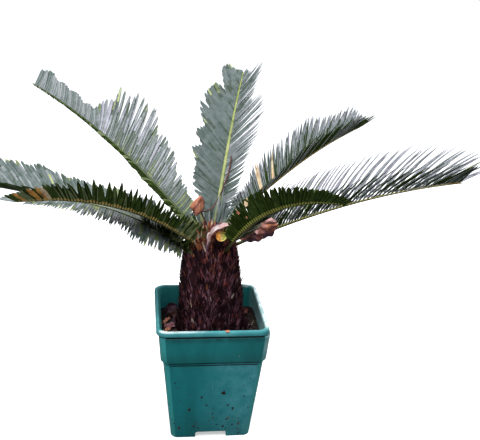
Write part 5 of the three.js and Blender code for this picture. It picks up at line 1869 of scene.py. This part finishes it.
# %% The pale sheath over the crown's front
SHEATH_FINISHES = ["dry_mauve", "dry_pink", "dry_white", "fibre_red"]
SHEATH_PATH = [
    (-18, -50, 450), (-15, -56, 470), (-12, -60, 489), (-5, -62, 505), (5, -63, 514),
    (24, -62, 519), (43, -58, 516), (56, -52, 508),
]


def smooth_path(path, t):
    """The point and direction at t of a smooth curve through evenly spaced points."""
    knots = np.linspace(0, 1, len(path))
    curves = [np.polyfit(knots, [p[k] for p in path], 4) for k in range(3)]
    point = np.array([np.polyval(c, t) for c in curves])
    way = np.array([np.polyval(np.polyder(c), t) for c in curves])
    return point, unit(way)


def sheath_shape(s, t):
    point, way = smooth_path(SHEATH_PATH, t)
    across = unit(np.cross(way, np.array([0.0, -1.0, 0.3])))
    out = np.cross(across, way)
    half = 5.2 * (0.7 + 0.5 * math.sin(math.pi * t)) * (1 - 0.75 * max(0, t - 0.8) / 0.2)
    ragged = 1 + 0.14 * math.sin(31 * t + 2 * s) + 0.10 * math.sin(57 * t - s)
    rise = 1.6 * s * s - 0.7 * math.sin(4 * s + 9 * t) - 0.5
    return point + across * s * half * ragged - out * rise


def sheath_tint(s, t):
    """Mauve at the left edge and the foot, red-brown at the right one, pink between, with painted white
    highlights.
    """
    streak = noise.noise(Vector((2.6 * s, 5 * t, 3.0))) + 0.1
    if s < -0.72 - 0.3 * streak or t < 0.16 + 0.3 * streak:
        return "dry_mauve"
    if s > 0.62 + 0.3 * streak:
        return "fibre_red"
    return "dry_white" if streak > 0.1 else "dry_pink"


sheath = shell("dry_sheath_arch", 14, 72, sheath_shape, 1.2, SHEATH_FINISHES, sheath_tint)
dress(sheath, ["dry_sheath"], smooth_angle=60)

# %% The small dry leaf
LEFT_MIDDLE = np.array([-33.0, 5.0, 541.0])
LEFT_LENGTH = 47
LEFT_LONG, LEFT_ACROSS, LEFT_OUT = leaf_axes((0.22, 0, 1), (0.1, -1, 0.1))
LEFT_SPREAD = [[0, 3], [0.17, 8], [0.36, 18], [0.7, 12], [0.92, 5], [1, 1.5]]
RIGHT_SPREAD = [[0, 4], [0.15, 10], [0.4, 16], [0.72, 13], [0.9, 7], [1, 2]]


def left_leaf_shape(s, t):
    half = along(LEFT_SPREAD if s < 0 else RIGHT_SPREAD, t)
    rise = 6 * (1 - s * s) + 1.5 * math.sin(6 * t + 2.5 * s) + 0.7 * math.sin(13 * s + 9 * t)
    spot = LEFT_MIDDLE + LEFT_LONG * (t - 0.5) * LEFT_LENGTH
    return spot + LEFT_ACROSS * s * half + LEFT_OUT * rise


def left_leaf_tint(s, t):
    """Orange, and brown at the foot, at the right edge and in a slanting streak."""
    brown = t < 0.2 or abs(s + 0.9 - 1.2 * t) < 0.16 or s > 0.75
    return "dry_brown" if brown else "dry_orange"


left_leaf = shell(
    "dry_leaf_small", 16, 20, left_leaf_shape, 1.4, ["dry_orange", "dry_brown"], left_leaf_tint
)
dress(left_leaf, ["dry_leaf_left"], smooth_angle=60)

# %% Its long stalk
STALK_RADIUS = 1.7
STALK_PATH = [
    (-10, 5, 474), (-16, 4, 500), (-27, 4, 528), (-29, 4, 531), (-22, 8, 526), (-14, 14, 523),
    (4, 45, 521), (20, 74, 534), (37, 98, 567), (49, 118, 594), (53, 134, 620),
]
line = bpy.data.curves.new("dry_leaf_stalk", "CURVE")
line.dimensions = "3D"
line.bevel_depth = STALK_RADIUS * MM
line.bevel_resolution = 3
line.use_fill_caps = True
spline = line.splines.new("NURBS")
spline.points.add(len(STALK_PATH) - 1)
for point, spot in zip(spline.points, STALK_PATH):
    point.co = (*place(*spot), 1)
spline.use_endpoint_u = True
spline.order_u = 3
left_stalk = bpy.data.objects.new("dry_leaf_stalk", line)
bpy.context.scene.collection.objects.link(left_stalk)
choose(left_stalk)
bpy.ops.object.convert(target="MESH")
left_stalk.data.materials.clear()
paint(left_stalk, ["stalk_maroon"])
dress(left_stalk, [], smooth_angle=60)

# %% The large crumpled leaf
RIGHT_MIDDLE = np.array([100.0, -20.0, 494.0])
RIGHT_HALF_LENGTH, RIGHT_HALF_WIDTH = 45, 33
RIGHT_LONG, RIGHT_ACROSS, RIGHT_OUT = leaf_axes((1, 0.05, 0.4), (-0.1, -1, -0.35))


def right_leaf_shape(s, t):
    u = 2 * t - 1
    ragged = 1 + 0.07 * math.sin(9 * u + 2) + 0.06 * math.sin(17 * u + 5 * s)
    half = RIGHT_HALF_WIDTH * math.sqrt(1 - 0.92 * u * u) * ragged
    rise = 9 * (1 - s * s) + 3.5 * math.sin(math.pi * u + s)
    rise += 2.8 * math.sin(6.5 * u + 4 * s) + 2.2 * math.sin(11 * s - 5 * u)
    rise += 1.3 * math.sin(17 * u + 3 * s) * math.sin(13 * s + 2)
    spot = RIGHT_MIDDLE + RIGHT_LONG * u * RIGHT_HALF_LENGTH
    return spot + RIGHT_ACROSS * s * half + RIGHT_OUT * rise


BLOTCH_COUNT = 46
BLOTCH_FINISHES = [
    "dry_brown", "dry_mauve", "dry_yellow", "dry_orange", "stalk_maroon", "dry_pink",
]
DARK_BLOTCHES = {
    "dry_brown": 46, "dry_mauve": 22, "dry_orange": 7, "stalk_maroon": 22, "dry_pink": 3,
}
BRIGHT_BLOTCHES = {"dry_brown": 34, "dry_yellow": 24, "dry_orange": 36, "dry_pink": 6}
dice = random.Random(71)
blotches = []
for _ in range(BLOTCH_COUNT):
    blotches.append((dice.uniform(-0.9, 0.9), dice.uniform(0.05, 0.95)))
    dice.random()  # a spare draw, which keeps the pattern that the leaf has
blotch_tints = [
    deal(dice, BRIGHT_BLOTCHES if a < 0.1 and b > 0.45 else DARK_BLOTCHES) for a, b in blotches
]


def blotched(s, t):
    """The finish of the nearest blotch."""
    distances = [math.hypot(s - a, 2 * (t - b)) for a, b in blotches]
    return blotch_tints[distances.index(min(distances))]


right_leaf = shell("dry_leaf_large", 34, 40, right_leaf_shape, 1.6, BLOTCH_FINISHES, blotched)
dress(right_leaf, ["dry_leaf_right"], smooth_angle=60)

# %% Flakes caught in the front right frond
# Each is its place, its half-width and half-height in millimetres, and its finish.
FLAKES = [
    ((54.6, -131.9, 594.2), 5.4, 9.5, "leaf_straw"), ((42.6, -106.8, 564.8), 5.2, 5.8, "dry_orange"),
    ((59.9, -111.7, 557.0), 2.2, 6.4, "dry_orange"),
]
FLAKE_FACE = unit((-0.14, -0.94, 0.31))
flake_across = unit(np.cross(UP, FLAKE_FACE))
flake_up = np.cross(FLAKE_FACE, flake_across)
dice = random.Random(72)
flakes = Pile()
for spot, half, tall, flake_finish in FLAKES:
    chip = crust(dice, np.array(spot), flake_across, flake_up, half, 1.2, tall / half)
    flakes.add(*chip, flake_finish)
dress(flakes.piece("dry_flakes", ["dry_orange", "leaf_straw"]), [], smooth_angle=30)

# %% Fallen leaves on the soil
FALLEN = [
    # centre, long way, face, length, width, cup, finish
    ((-90, 74, 250), (0.5, 0.5, 0.65), (0.5, -0.8, 0.4), 38, 30, 10, "dry_mauve"),
    ((-74, 56, 244), (1.0, -0.3, 0.1), (0.1, -0.3, 1.0), 34, 20, 7, "stalk_maroon"),
    ((-78, 18, 245), (0.3, 0.9, 0.2), (-0.4, -0.3, 1.0), 34, 16, 6, "dry_mauve"),
    ((-92, 0, 243), (0.9, 0.3, 0.05), (0.0, -0.3, 1.0), 26, 17, 5, "dry_rose"),
    ((-99, 30, 243), (0.5, 0.9, 0.0), (0.2, -0.3, 1.0), 34, 7, 2, "dry_orange"),
    ((-98, -16, 243), (0.6, 0.5, 0.1), (0.2, -0.3, 1.0), 16, 10, 3, "dry_orange"),
    ((-80, -34, 243), (0.7, -0.6, 0.1), (0.1, -0.2, 1.0), 26, 15, 5, "stalk_maroon"),
    ((92, 66, 243), (0.4, 0.8, 0.1), (-0.2, -0.2, 1.0), 30, 20, 5, "dry_brown"),
]
for number, (centre, way, face, length, width, cup, leaf_finish) in enumerate(FALLEN):
    long, across, out = leaf_axes(way, face)

    def fallen_shape(s, t):
        u = 2 * t - 1
        half = width / 2 * math.sqrt(1 - 0.95 * u * u) * (1 + 0.14 * math.sin(9 * u + 2 * s))
        rise = cup * (s * s + 0.5 * u * u - 0.4) + 1.7 * math.sin(5 * u + 4 * s + number)
        return np.array(centre, float) + long * u * length / 2 + across * s * half + out * rise

    fallen = shell(
        f"fallen_leaf_{number + 1}", 8, 12, fallen_shape, 1.0, [leaf_finish],
        lambda s, t: leaf_finish,
    )
    dress(fallen, [], smooth_angle=60)

# %% [markdown]
# ## Size and finish
#
# The boxes of the CAD model and of the dressed plant are kept side by side and printed. The
# dressed plant has to fill the same space as the CAD model.

# %% Print the two boxes and finish
boxes = {"cad": cad_box, "dressed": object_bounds()}
boxes = {name: [[float(v) for v in corner] for corner in box] for name, box in boxes.items()}
print(boxes)
